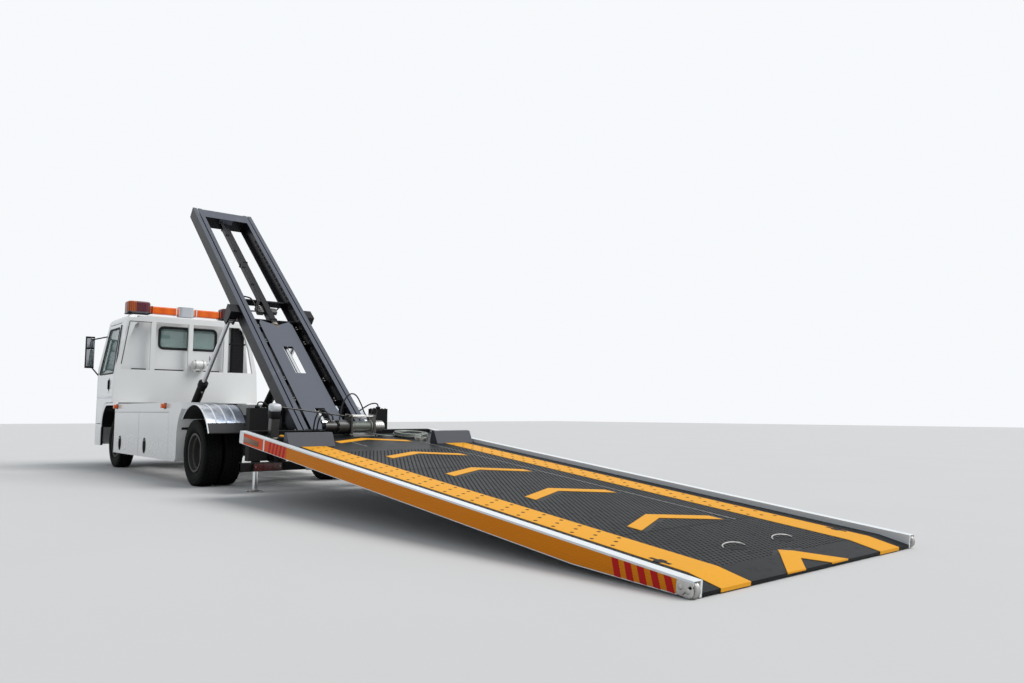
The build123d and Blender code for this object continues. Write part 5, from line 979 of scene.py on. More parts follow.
def woundDrum():
    form = Form(onBed)
    turnCount = int((winch["left"] - winch["right"]) / winch["ropePitch"])
    half = winch["ropePitch"] / 2
    profile = [(0.0, 0.021)]
    for k in range(turnCount):
        for share, lift in ((0.06, 0.18), (0.25, 0.80), (0.5, 1.0), (0.75, 0.80), (0.94, 0.18)):
            profile.append(((k + share) * winch["ropePitch"], winch["core"] + half * lift))
    profile += [(turnCount * winch["ropePitch"], 0.021), (0.0, 0.021)]
    origin = (-winch["back"], winch["right"], winch["axis"])
    form.turned(profile, origin, (0, 1, 0), ropeSteel, 48)
    for start, end in ((0.0300, 0.0400), (-0.2150, -0.2050)):
        form.turned(((0, 0.021), (0, 0.071), (0.0015, 0.0745), (0.004, 0.076), (0.006, 0.076),
                     (0.0085, 0.0745), (0.010, 0.071), (0.010, 0.021), (0, 0.021)),
                    (-winch["back"], start, winch["axis"]), (0, 1, 0), zincMetal, 48)
    for start, end in ((0.040, 0.0655), (-0.2405, -0.215)):
        form.rod((-winch["back"], start, winch["axis"]), (-winch["back"], end, winch["axis"]), 0.0198,
                 nutSteel, 24)
    form.piece("woundDrum", "winch_spool", ("winch_drum",))


def winchFittings():
    form = Form(onBed)
    x, z = -winch["back"], winch["axis"]
    form.grown(nutTree.grow(nutSteel, Count=8, Radius=winch["gearBolts"], Width=0.016, High=0.008),
               at(x, winch["gearFace"] - 0.0005, z), nutSteel)
    form.grown(nutTree.grow(nutSteel, Count=6, Radius=0.050, Width=0.014, High=0.007),
               at(x, winch["capEnd"] + 0.002, z, pi), nutSteel)
    form.turned(((0, 0.064), (0.010, 0.064), (0.012, 0.060), (0.012, 0.048), (0.0, 0.048), (0, 0.064)),
                (x, 0.196, z), (0, 1, 0), blackTrim, 32)
    form.turned(((0.0, 0.0), (0.0, 0.058), (0.008, 0.056), (0.020, 0.046), (0.029, 0.030), (0.034, 0.012),
                 (0.035, 0.0)), (x, winch["capEnd"], z), (0, -1, 0), zincMetal, 32)
    for k in range(4):
        form.turned(((0, 0.0615), (0, 0.0645), (0.006, 0.0645), (0.006, 0.0615), (0, 0.0615)),
                    (x, -0.255 - k * 0.024, z), (0, -1, 0), zincMetal, 32)
    form.turned(((0, 0), (0, 0.030), (0.016, 0.028), (0.020, 0.018), (0.020, 0)), (x, winch["motorEnd"], z),
                (0, 1, 0), blackTrim, 20)
    for y in (0.250, 0.300):
        form.rod((x, y, z + 0.044), (x, y, z + 0.070), 0.012, nutSteel, 12)
    form.hose(((x, 0.250, z + 0.066), (x, 0.250, 0.200), (x + 0.02, 0.262, 0.225), (x + 0.10, 0.300, 0.240),
               (x + 0.155, 0.330, 0.180), (x + 0.165, 0.345, 0.100), (x + 0.165, 0.350, 0.010)), 0.0085,
              hoseBlack)
    form.hose(((x + 0.050, 0.150, z + 0.010), (x + 0.070, 0.130, 0.200), (x + 0.090, 0.105, 0.330),
               (x + 0.090, 0.035, 0.450), (x + 0.090, -0.055, 0.455), (x + 0.080, -0.130, 0.340),
               (x + 0.060, -0.165, 0.240), (x + 0.030, -0.200, 0.180), (x, -0.226, z + 0.050)), 0.0080,
              hoseBlack)
    form.hose(((x + 0.020, -0.228, z + 0.060), (x + 0.030, -0.290, 0.200), (x + 0.040, -0.320, 0.250),
               (x + 0.040, -0.285, 0.305), (x + 0.035, -0.235, 0.270), (x + 0.010, -0.226, z + 0.080)),
              0.0075, hoseBlack)
    form.hose(((x, 0.300, z + 0.066), (x, 0.300, 0.205), (x + 0.03, 0.318, 0.262), (x + 0.10, 0.360, 0.270),
               (x + 0.140, 0.385, 0.190), (x + 0.150, 0.395, 0.100), (x + 0.150, 0.400, 0.010)), 0.0085,
              hoseBlack)
    for side, y in ((1, 0.0667), (-1, -0.2417)):
        for shift in (-0.05, 0.05):
            form.hexBolt((x + shift, y, 0.212), (0, side, 0), 0.022, 0.012, nutSteel)
        for shift in (-0.085, 0.085):
            form.block((x + shift - 0.018, y - 0.02 if side > 0 else y - 0.012, 0.012),
                       (x + shift + 0.018, y + 0.012 if side > 0 else y + 0.02, 0.020), nutSteel, 0.002)
            form.hexBolt((x + shift, y, 0.012), (0, 0, 1), 0.018, 0.016, nutSteel)
    form.block((-0.182, 0.835, 0.250), (-0.062, 0.950, 0.334), ventGrey, 0.028)
    form.block((-0.172, 0.840, 0.175), (-0.068, 0.944, 0.254), chassisBlack, 0.012)
    form.piece("winchFittings", "bed")


woundDrum()
winchFittings()
print("bed dressed")

# Wheels: tyres with ribs and tread blocks, wheel nuts, hubs and hand holes
wheel = {"axle": 0.402, "frontX": 4.175, "frontY": 0.832, "outerY": 0.960, "innerY": 0.710, "steps": 72,
         "blocks": 52, "blockBase": 0.3950, "blockHigh": 0.0130, "blockLong": 0.036, "nuts": 6,
         "nutCircle": 0.102, "nutWide": 0.033, "nutHigh": 0.022, "frontDish": 0.068, "rearDish": -0.050,
         "holeDish": 0.062, "capLift": 0.0005, "handHoles": 8}
tyreSide = ((0.080, 0.2226), (0.080, 0.2400), (0.0875, 0.2520), (0.0895, 0.2540), (0.0965, 0.2640),
            (0.1020, 0.2780), (0.1045, 0.2800), (0.1050, 0.2840), (0.1075, 0.2980), (0.1095, 0.3150),
            (0.1100, 0.3300), (0.1090, 0.3450), (0.1075, 0.3540), (0.1090, 0.3570), (0.1080, 0.3620),
            (0.1040, 0.3760), (0.0990, 0.3850), (0.0930, 0.3905), (0.0780, 0.3930), (0.0720, 0.3890),
            (0.0660, 0.3890), (0.0600, 0.3935), (0.0300, 0.3940), (0.0240, 0.3895), (0.0180, 0.3895),
            (0.0120, 0.3942))


def tyreAt(form, x, y, phase):
    profile = list(tyreSide) + [(-along, radius) for along, radius in reversed(tyreSide)] + [tyreSide[0]]
    form.turned(profile, (x, y, wheel["axle"]), (0, 1, 0), tyreRubber, wheel["steps"])
    for along, wide, skew, shift in ((-0.0855, 0.021, 0.10, 0.0), (-0.045, 0.026, -0.30, 0.5),
                                     (0.0, 0.020, 0.30, 0.0), (0.045, 0.026, -0.30, 0.5),
                                     (0.0855, 0.021, 0.10, 0.0)):
        outer = abs(along) > 0.08
        ring = treadTree.grow(tyreRubber, Count=wheel["blocks"],
                              Radius=wheel["blockBase"] - (0.0025 if outer else 0.0), Skew=skew,
                              Phase=phase + shift * 2 * pi / wheel["blocks"],
                              Long=wheel["blockLong"] * (0.95 if outer else 0.86), Wide=wide,
                              High=wheel["blockHigh"])
        form.grown(ring, at(x, y + along, wheel["axle"]), tyreRubber)


def hubAt(form, x, y, side, dish, capLift):
    # nuts on the disc's flat face, a domed hub cap and its bolts
    face = y + side * dish
    spin = 0.0 if side > 0 else pi
    form.grown(nutTree.grow(nutSteel, Count=wheel["nuts"], Radius=wheel["nutCircle"],
                            Width=wheel["nutWide"], High=wheel["nutHigh"]),
               at(x, face, wheel["axle"], spin), nutSteel)
    form.grown(nutTree.grow(nutSteel, Count=wheel["nuts"], Radius=wheel["nutCircle"], Width=0.016,
                            High=0.034, Sides=10), at(x, face, wheel["axle"], spin), nutSteel)
    start = face + side * capLift
    form.turned(((0.0, 0.0), (0.0, 0.0735), (0.010, 0.0735), (0.014, 0.066), (0.040, 0.058), (0.046, 0.050),
                 (0.050, 0.020), (0.050, 0.0)), (x, start, wheel["axle"]), (0, side, 0), rimDark, 32)
    form.grown(nutTree.grow(nutSteel, Count=8, Radius=0.042, Width=0.012, High=0.008),
               at(x, start + side * 0.044, wheel["axle"], spin), nutSteel)


def handHolesAt(form, x, y, side, dish):
    # dark openings round the dished disc, each a sheet of painted shade with a rolled lip
    well = y + side * 0.016
    face = y + side * dish
    for k in range(wheel["handHoles"]):
        angle = 2 * pi * (k + 0.5) / wheel["handHoles"]
        across = Vector((cos(angle), 0, sin(angle)))
        inner = Vector((x, face, wheel["axle"])) + across * 0.136
        outer = Vector((x, well, wheel["axle"])) + across * 0.190
        middle = (inner + outer) / 2
        along = (outer - inner).normalized()
        sideways = Vector((-sin(angle), 0, cos(angle)))
        normal = along.cross(sideways).normalized()
        if normal.y * side < 0:
            normal = -normal
        hole = [middle + along * 0.018 * cos(t) + sideways * 0.026 * sin(t)
                for t in [2 * pi * j / 16 for j in range(16)]]
        lift = normal * 0.0068
        lip = [middle + (point - middle) * 1.16 for point in hole]
        form.loft([[point + lift * 0.93 for point in lip], [point + lift * 1.10 for point in lip],
                   [point + lift * 1.12 for point in hole], [point + lift * 0.95 for point in hole]],
                  rimDark, False, True)
        form.loft([[point + lift * 0.90 for point in hole], [point + lift * 1.02 for point in hole]],
                  shadeAndSeamDark)


def wheelParts():
    for word, side in sides:
        for name, x, places in (("front", wheel["frontX"], (wheel["frontY"],)),
                                ("rear", 0.0, (wheel["outerY"], wheel["innerY"]))):
            front = name == "front"
            plural = "" if front else "s"
            body = f"{name}_{word.lower()}_wheel{plural}"
            tyres = Form()
            for order, place in enumerate(places):
                tyreAt(tyres, x, side * place, 0.05 * order)
            tyres.piece(name + "Tyre" + word, body, (f"{name}_{word.lower()}_tyre{plural}",))
            hub = Form()
            y = side * places[0]
            hubAt(hub, x, y, side, wheel["frontDish"] if front else wheel["rearDish"],
                  wheel["capLift"] if front else 0.0)
            if front:
                handHolesAt(hub, x, y, side, wheel["holeDish"])
            hub.piece(name + "Hub" + word, body)


wheelParts()

# Mudguards: pressed beads that run round the arch, rolled edges and stays
mudguard = {"radius": 0.587, "start": radians(43.4), "end": radians(155.4), "steps": 28,
            "beads": (0.730, 0.848, 0.966), "outer": 1.082, "inner": 0.612, "beadEnd": radians(141.8),
            "stay": 0.645, "edge": 0.584, "stayRadius": 0.575}


def arcPath(radius, y, start, end, steps):
    return [(radius * cos(start + (end - start) * k / steps), y,
             wheel["axle"] + radius * sin(start + (end - start) * k / steps)) for k in range(steps + 1)]


def mudguardTrim(form, side):
    bead = [(-0.010, -0.0012), (-0.006, 0.0036), (0.0, 0.0048), (0.006, 0.0036), (0.010, -0.0012)]
    for y in mudguard["beads"]:
        form.sweep(arcPath(mudguard["radius"], side * y, mudguard["start"], mudguard["beadEnd"],
                           mudguard["steps"]), bead, (0, 0, 1), stripWhite)
    circle = ellipse(0, 0, 0.0075, 0.0075, 10)
    for y, finish in ((mudguard["outer"], stripWhite), (mudguard["inner"], blackTrim)):
        form.sweep(arcPath(mudguard["radius"] - 0.003, side * y, mudguard["start"], mudguard["end"],
                           mudguard["steps"]), circle, (0, 0, 1), finish)
    for angle, finish in ((mudguard["start"], stripWhite), (mudguard["end"], blackTrim)):
        x, z = mudguard["edge"] * cos(angle), wheel["axle"] + mudguard["edge"] * sin(angle)
        form.rod((x, side * mudguard["inner"], z), (x, side * mudguard["outer"], z), 0.0075, finish, 10)
    for angle in (radians(50), radians(145)):
        x, z = mudguard["stayRadius"] * cos(angle), wheel["axle"] + mudguard["stayRadius"] * sin(angle)
        form.rod((x, side * 0.455, z), (x, side * mudguard["stay"], z), 0.016, chassisBlack, 12)
        form.sideBlock(side, (x - 0.05, x + 0.05), (0.440, 0.462), (z - 0.12, z + 0.010), chassisBlack,
                       0.004)
        form.grown(headTree.grow(nutSteel, Count=2, Pitch=0.06, Width=0.022, High=0.012),
                   facingSide(x - 0.03, side * 0.462, z - 0.08, side), nutSteel)


for word, side in sides:
    guardForm = Form()
    mudguardTrim(guardForm, side)
    guardForm.piece("mudguardTrim" + word, "chassis")
print("wheels dressed")

# Slide frame: bolted joints, stepped inner rail, hoses with their clips, glands and the hinge pins
slide = {"railInner": 0.324, "stepPitch": 0.118, "stepCount": 30, "stepStart": 0.45,
         "wings": (0.170, 0.560, 1.330, 1.660)}


def slideFittings():
    form = Form(onSlide)
    for side in (1, -1):
        inner = side * slide["railInner"]
        near, far = sorted((inner, inner - side * 0.006))
        form.grown(boxTree.grow(chassisBlack, Count=slide["stepCount"], Pitch=slide["stepPitch"],
                                Long=0.072, Wide=0.007, High=0.020),
                   at(slide["stepStart"], (near + far) / 2, 0.092), chassisBlack)
        form.grown(headTree.grow(nutSteel, Count=slide["stepCount"], Pitch=slide["stepPitch"], Width=0.016,
                                 High=0.007), facingSide(slide["stepStart"] - 0.05, inner, 0.060, -side),
                   nutSteel)
        form.turned(((0, 0.0), (0, 0.052), (0.005, 0.055), (0.012, 0.055), (0.016, 0.050), (0.016, 0.026),
                     (0.022, 0.024), (0.022, 0.0)), (0, side * 0.4895, 0), (0, side, 0), nutSteel, 28)
        form.grown(nutTree.grow(nutSteel, Count=4, Radius=0.038, Width=0.014, High=0.009),
                   at(0, side * 0.5075, 0, 0 if side > 0 else pi), nutSteel)
        for place in slide["wings"]:
            form.grown(headTree.grow(nutSteel, Count=2, Pitch=0.045, Width=0.020, High=0.010),
                       at(place - 0.0225, side * 0.262, 0.0505), nutSteel)
    clips = (2.65, 3.10, 3.55, 4.00, 4.40)
    for y in (0.058, 0.080):
        form.hose(((2.05, y + 0.10, 0.02), (2.20, y + 0.05, 0.060), (2.35, y, 0.075), (2.80, y, 0.074),
                   (3.40, y, 0.076), (4.10, y, 0.074), (4.42, y, 0.078), (4.50, y - 0.02, 0.082),
                   (4.535, y - 0.045, 0.070)), 0.008, hoseBlack)
    for place in clips:
        form.block((place - 0.014, 0.046, 0.060), (place + 0.014, 0.092, 0.088), blackTrim, 0.003)
    form.rod((4.535, 0.0, 0.030), (4.535, 0.0, 0.066), 0.016, nutSteel, 16)
    form.turned(((0, 0.046), (0, 0.0535), (0.010, 0.0560), (0.036, 0.0560), (0.046, 0.0500), (0.046, 0.0),
                 (0, 0.0)), (1.787, 0, 0.0), (-1, 0, 0), nutSteel, 28)
    form.rod((1.742, 0, 0), (1.735, 0, 0), 0.034, chromeMetal, 20)
    for place in (1.86, 3.30, 4.34):
        form.loft([[(place + shift, y, z) for y, z in ((-0.049, -0.049), (0.049, -0.049), (0.049, 0.049),
                                                       (-0.049, 0.049))] for shift in (-0.016, 0.016)],
                  chassisBlack)
    for start, bend, end in (((2.12, 0.10, -0.02), (2.22, 0.20, -0.09), (2.33, 0.30, -0.04)),
                             ((2.10, -0.08, -0.02), (2.24, -0.17, -0.11), (2.36, -0.30, -0.03)),
                             ((2.16, 0.13, 0.00), (2.30, 0.19, 0.07), (2.42, 0.305, 0.02))):
        rise, fall = [tuple((a + b) / 2 for a, b in zip(*pair)) for pair in ((start, bend), (bend, end))]
        form.hose((start, rise, bend, fall, end), 0.010, hoseBlack)
    form.block((2.06, 0.055, -0.045), (2.20, 0.145, 0.020), engineCast, 0.008)
    form.block((2.08, -0.140, -0.040), (2.18, -0.055, 0.015), engineCast, 0.008)
    form.grown(headTree.grow(zincMetal, Count=3, Pitch=0.04, Width=0.024, High=0.022),
               at(2.09, 0.10, 0.018), zincMetal)
    form.piece("slideFittings", "slide_frame")


def barrelBush():
    # brown bush where the rod leaves its barrel
    form = Form(onSlide)
    form.turned(((0, 0.030), (0, 0.048), (0.020, 0.052), (0.052, 0.052), (0.060, 0.044), (0.060, 0.030),
                 (0, 0.030)), (1.728, 0, 0), (-1, 0, 0), bushBrown, 24)
    form.piece("barrelBush", "slide_frame")


slideFittings()
barrelBush()

# Bed carriage: bolts on the slide shoes
carriage = {"shoeBack": 0.653}


def carriageFittings():
    form = Form(onSlide)
    for side in (1, -1):
        form.grown(headTree.grow(nutSteel, Count=3, Pitch=0.055, Width=0.022, High=0.010),
                   facingSide(-carriage["shoeBack"] + 0.055, side * 0.5005, 0.150, side), nutSteel)
    form.piece("carriageBolts", "bed_carriage")


# Tilt cylinders: collars, ports and short hoses
cylinder = {"baseX": 2.121, "baseZ": 0.578, "y": 0.530, "eyeAlong": 1.965, "eyeBelow": -0.090,
            "length": 1.080}
eye = onSlide @ Vector((cylinder["eyeAlong"], 0, cylinder["eyeBelow"]))
base = onTruck @ Vector((cylinder["baseX"], 0, cylinder["baseZ"]))
lean = (eye - base).normalized()
for word, side in sides:
    barrelForm = Form(Matrix.Identity(4))
    foot = Vector((base.x, side * cylinder["y"], base.z))
    along = lambda distance: foot + lean * distance
    barrelForm.turned(((0, 0.034), (0, 0.0640), (0.006, 0.0660), (0.070, 0.0660), (0.076, 0.0600),
                       (0.084, 0.0500), (0.084, 0.0340), (0, 0.034)), along(cylinder["length"] - 0.068),
                      lean, blackTrim, 32)
    barrelForm.turned(((0, 0.0576), (0, 0.0625), (0.050, 0.0625), (0.050, 0.0576), (0, 0.0576)),
                      along(0.075), lean, blackTrim, 32)
    port = along(cylinder["length"] - 0.12)
    outward = lean.cross(Vector((0, 1, 0))).normalized()
    barrelForm.rod(port + outward * 0.050, port + outward * 0.085, 0.014, nutSteel, 14)
    low = along(0.16)
    barrelForm.rod(low + outward * 0.050, low + outward * 0.085, 0.014, nutSteel, 14)
    barrelForm.hose([port + outward * 0.08, port + outward * 0.12, port + outward * 0.115 - lean * 0.12,
                     port + outward * 0.085 - lean * 0.35, low + outward * 0.095 + lean * 0.30,
                     low + outward * 0.105 + lean * 0.10, low + outward * 0.12 + lean * 0.03,
                     low + outward * 0.08], 0.0085, hoseBlack)
    barrelForm.piece("barrelFittings" + word, word.lower() + "_cylinder_barrel")
carriageFittings()

# Chassis: bolt rows, under-run bar lamps, plate, hanger bolts and leg collars
chassis = {"railHalf": 0.425}
tail = {"back": -1.3635, "front": -1.329, "low": 0.244, "high": 0.336, "inner": 0.532, "outer": 0.868,
        "rim": 0.006, "legX": -1.200, "legY": 0.780}


def chassisFittings():
    form = Form()
    for side in (1, -1):
        for z, count, pitch, start in ((0.745, 24, 0.19, -1.02), (0.605, 24, 0.19, -0.98)):
            form.grown(headTree.grow(nutSteel, Count=count, Pitch=pitch, Width=0.020, High=0.010),
                       facingSide(start, side * chassis["railHalf"], z, side), nutSteel)
        for x in (-0.80, 0.35, 1.50, 2.55):
            form.rod((x, side * 0.452, 0.640), (x, side * 0.452, 0.845), 0.008, zincMetal, 10)
            form.rod((x + 0.09, side * 0.452, 0.640), (x + 0.09, side * 0.452, 0.845), 0.008, zincMetal, 10)
            form.sideBlock(side, (x - 0.02, x + 0.11), (0.426, 0.470), (0.838, 0.848), nutSteel, 0.002)
        form.hose(((-0.90, side * 0.30, 0.800), (-0.60, side * 0.31, 0.815), (0.2, side * 0.30, 0.800),
                   (1.2, side * 0.31, 0.812), (2.2, side * 0.30, 0.800), (3.0, side * 0.31, 0.810),
                   (3.35, side * 0.28, 0.790)), 0.010, hoseBlack)
    form.piece("chassisFittings", "chassis")


def tailFittings():
    form = Form()
    for side in (1, -1):
        near, far = sorted((side * tail["inner"], side * tail["outer"]))
        for edge in ((near, near + tail["rim"]), (far - tail["rim"], far)):
            form.block((tail["back"], edge[0], tail["low"]), (tail["front"], edge[1], tail["high"]),
                       blackTrim, 0.002)
        for edge in ((tail["low"], 0.2495), (0.3305, tail["high"])):
            form.block((tail["back"], near, edge[0]), (tail["front"], far, edge[1]), blackTrim, 0.002)
        for y in (side * 0.645, side * 0.755):
            form.block((-1.3615, y - 0.003, 0.249), (-1.330, y + 0.003, 0.331), blackTrim, 0.001)
        for y in (side * 0.56, side * 0.84):
            form.hexBolt((-1.3600, y, 0.290), (-1, 0, 0), 0.010, 0.003, zincMetal)
        form.sideBlock(side, (-1.332, -1.268), (0.985, 1.000), (0.238, 0.342), blackTrim, 0.004)
        legX, legY = tail["legX"], side * tail["legY"]
        form.turned(((0, 0.030), (0, 0.046), (0.004, 0.050), (0.014, 0.050), (0.018, 0.044), (0.018, 0.030),
                     (0, 0.030)), (legX, legY, 0.3495), (0, 0, -1), blackTrim, 24)
        form.grown(headTree.grow(nutSteel, Count=2, Pitch=0.074, Lanes=2, LanePitch=0.160, Width=0.018,
                                 High=0.009), at(legX - 0.037, legY - 0.080, 0.942), nutSteel)
        form.turned(((0, 0), (0, 0.030), (0.020, 0.030), (0.028, 0.020), (0.028, 0)), (legX, legY, 0.942),
                    (0, 0, 1), blackTrim, 18)
        form.hose(((legX, legY, 0.965), (legX, legY, 1.010), (legX + 0.03, legY - side * 0.08, 1.010),
                   (legX + 0.06, legY - side * 0.16, 0.960), (legX + 0.08, legY - side * 0.24, 0.900),
                   (legX + 0.10, legY - side * 0.30, 0.860)), 0.0085, hoseBlack)
    form.block((-1.336, -0.235, 0.232), (-1.3295, 0.235, 0.348), plateWhite, 0.0025)
    form.grown(headTree.grow(zincMetal, Count=2, Pitch=0.38, Width=0.012, High=0.003),
               at(-1.336, -0.19, 0.29, -pi / 2, "Y") @ Matrix.Rotation(pi / 2, 4, "Z"), zincMetal)
    form.piece("tailFittings", "chassis")


chassisFittings()
tailFittings()
for word, side in sides:
    legForm = Form()
    legForm.turned(((0, 0.0285), (0, 0.040), (0.006, 0.040), (0.012, 0.036), (0.012, 0.0285), (0, 0.0285)),
                   (tail["legX"], side * tail["legY"], 0.0145), (0, 0, 1), nutSteel, 20)
    legForm.grown(headTree.grow(nutSteel, Count=2, Pitch=0.08, Lanes=2, LanePitch=0.12, Width=0.016,
                                High=0.008), at(-1.240, side * tail["legY"] - 0.060, 0.0138), nutSteel)
    legForm.piece("legFoot" + word, word.lower() + "_leg")
print("frame and chassis dressed")

# Cab: rubbers, handles, vents, grille, wipers, mirrors and the parts on its back wall
cab = {"back": 3.690, "half": 1.035, "waist": 1.500, "tumble": 0.073 / 0.830,
       "window": (0.460, 1.935, 2.280), "vent": (0.836, 2.298),
       "doorWindow": ((4.090, 1.520), (4.975, 1.520), (4.655, 2.262), (4.058, 2.262))}


def sideWall(z):
    # half width of the cab's side, which leans in above the waist
    return cab["half"] - max(0.0, z - cab["waist"]) * cab["tumble"]


def roundedLoop(corners, radius, steps=5):
    # closed path with each corner turned into an arc, in two dimensions
    path = []
    count = len(corners)
    for k in range(count):
        before, corner, after = (Vector(corners[(k + d) % count]) for d in (-1, 0, 1))
        one, two = (before - corner).normalized(), (after - corner).normalized()
        angle = one.angle(two)
        reach = radius / max(0.2, abs(sin(angle / 2) / cos(angle / 2)) if angle < 3.1 else 1.0)
        start, end = corner + one * reach, corner + two * reach
        for j in range(steps + 1):
            t = j / steps
            path.append(tuple(start * (1 - t) ** 2 + corner * 2 * t * (1 - t) + end * t ** 2))
    return path


def sealSection(wide, high):
    return [(-wide / 2, -high * 0.3), (-wide / 2, high * 0.4), (-wide * 0.25, high), (wide * 0.25, high),
            (wide / 2, high * 0.4), (wide / 2, -high * 0.3)]


def cabSeals():
    form = Form()
    half, low, high = cab["window"]
    loop = roundedLoop(((-half, low), (half, low), (half, high), (-half, high)), 0.075)
    form.sweep([(cab["back"], y, z) for y, z in loop], sealSection(0.040, 0.014), (-1, 0, 0), rubberSeal,
               True)
    form.block((cab["back"] - 0.010, -0.016, low), (cab["back"] + 0.004, 0.016, high), rubberSeal, 0.003)
    form.block((cab["back"] + 0.016, -half, high - 0.055), (cab["back"] + 0.022, half, high - 0.004),
               blackTrim, 0.001)
    form.block((4.795, 0.068 - 0.11, 2.223 - 0.035), (4.825, 0.068 + 0.11, 2.223 + 0.035), blackTrim, 0.010)
    # painted shadow: dark strips on the back wall and behind the guard's top rail, where the gap between
    # guard and cab lies in shade
    for foot, head, z in ((0.06, 0.53, 1.572), (-0.53, -0.06, 1.572), (0.65, 0.87, 1.572),
                          (-0.87, -0.65, 1.572)):
        form.block((cab["back"] - 0.010, foot, z), (cab["back"] - 0.001, head, z + 0.018), shadeAndSeamDark, 0.002)
    for foot, head in ((0.06, 0.53), (-0.53, -0.06), (0.65, 0.83)):
        form.block((3.603, foot, 2.416), (3.640, head, 2.430), shadeAndSeamDark, 0.002)
    # painted shadow: dark lines along the guard opening's edge
    form.rod((3.549, 1.053, 1.647), (3.549, 0.954, 2.333), 0.006, rubberSeal, 8)
    form.rod((3.549, 0.954, 2.333), (3.549, 0.622, 2.333), 0.005, rubberSeal, 8)
    doorRear = min((nodes["cab_door_left"].matrix_world @ Vector(corner)).x
                   for corner in nodes["cab_door_left"].bound_box) - axleX
    print("cab door rear edge at", round(doorRear, 4))
    for side in (1, -1):
        form.sweep([(doorRear - 0.022, side * (sideWall(z) - 0.001), z) for z in (1.06, 1.50, 1.90, 2.30)],
                   sealSection(0.020, 0.014), (0, side, 0), rubberSeal)
    form.piece("rearWindowSeal", "chassis")
    for word, side in sides:
        door = Form()
        loop = roundedLoop(cab["doorWindow"], 0.045)
        normal = (0, side, cab["tumble"])
        door.sweep([(x, side * (sideWall(z) - 0.001), z) for x, z in loop], sealSection(0.026, 0.009),
                   normal, rubberSeal, True)
        # the handle's recess is a dark oval sheet: painted shade
        oval = ellipse(4.315, 1.335, 0.050, 0.108, 24)
        near, far = sorted((side * (cab["half"] - 0.002), side * (cab["half"] + 0.0012)))
        door.prism(oval, near, far, shadeAndSeamDark)
        door.sideBlock(side, (4.297, 4.333), (cab["half"] + 0.004, cab["half"] + 0.022), (1.262, 1.408),
                       blackTrim, 0.007)
        door.sideBlock(side, (4.297, 4.333), (1.030, 1.055), (1.390, 1.412), blackTrim, 0.006)
        door.turned(((0, 0), (0, 0.011), (0.003, 0.011), (0.003, 0)),
                    (4.315, side * (cab["half"] + 0.001), 1.212), (0, side, 0), zincMetal, 14)
        door.sideBlock(side, (4.075, 5.020), (1.034, 1.040), (1.115, 1.150), stripWhite, 0.002)
        door.piece("cabDoorTrim" + word, word.lower() + "_cab_door")


def cabBack():
    form = Form()
    form.turned(((0, 0), (0, 0.054), (0.006, 0.054), (0.016, 0.048), (0.024, 0.034), (0.028, 0.016),
                 (0.029, 0)), (cab["back"] - 0.020, *cab["vent"]), (-1, 0, 0), ventGrey, 28)
    form.rod((cab["back"] + 0.03, *cab["vent"]), (cab["back"] - 0.019, *cab["vent"]), 0.040, cabWhite, 24)
    for k in range(3):
        inner, outer = 0.012 + k * 0.012, 0.016 + k * 0.012
        form.turned(((0, inner), (0.004, inner), (0.004, outer), (0, outer), (0, inner)),
                    (cab["back"] - 0.0455 + k * k * 0.0028, *cab["vent"]), (-1, 0, 0), blackTrim, 24)
    for z in (1.20, 1.34, 1.48):
        form.block((cab["back"] - 0.004, -0.86, z - 0.014), (cab["back"] + 0.001, 0.86, z + 0.014),
                   cabWhite, 0.003)
    tankX, tankZ = 3.470, 1.674
    form.turned(((0, 0), (0, 0.026), (0.010, 0.054), (0.026, 0.070), (0.040, 0.073), (0.200, 0.073),
                 (0.214, 0.070), (0.230, 0.054), (0.240, 0.026), (0.240, 0)), (tankX, -0.235, tankZ),
                (0, 1, 0), plateWhite, 32)
    for y in (-0.185, -0.060):
        form.turned(((0, 0.0735), (0, 0.077), (0.020, 0.077), (0.020, 0.0735), (0, 0.0735)),
                    (tankX, y, tankZ), (0, 1, 0), zincMetal, 32)
        form.block((tankX - 0.02, y - 0.002, 1.560), (tankX + 0.09, y + 0.022, 1.612), guardWhite, 0.003)
    form.hose(((tankX, -0.235, tankZ), (tankX, -0.275, tankZ), (tankX - 0.01, -0.300, 1.74),
               (tankX, -0.285, 1.83), (tankX + 0.05, -0.310, 1.80), (tankX + 0.10, -0.330, 1.62)), 0.006,
              hoseBlack)
    form.piece("cabBackFittings", "chassis")


def intakeParts():
    form = Form()
    low = 1.170
    form.grown(boxTree.grow(blackTrim, Count=22, Pitch=0.052, Long=0.016, Wide=0.190, High=0.008),
               at(3.6075, -0.815, low + 0.06, -pi / 2, "Y"), blackTrim)
    form.block((3.596, -0.940, 2.340), (3.696, -0.690, 2.392), blackTrim, 0.012)
    # the slots are dark strips: painted shade in the openings
    form.grown(boxTree.grow(shadeAndSeamDark, Count=9, Pitch=0.024, Long=0.012, Wide=0.004, High=0.034),
               at(3.5955, -0.911, 2.366, pi / 2), shadeAndSeamDark)
    for z in (1.45, 2.05):
        form.block((3.600, -0.945, z), (3.700, -0.685, z + 0.026), blackTrim, 0.003)
    form.hose(((3.65, -0.815, 1.17), (3.65, -0.815, 1.08), (3.68, -0.78, 1.00), (3.78, -0.62, 0.94),
               (3.86, -0.50, 0.92)), 0.055, hoseBlack, 16)
    form.piece("intakeTrim", "chassis")


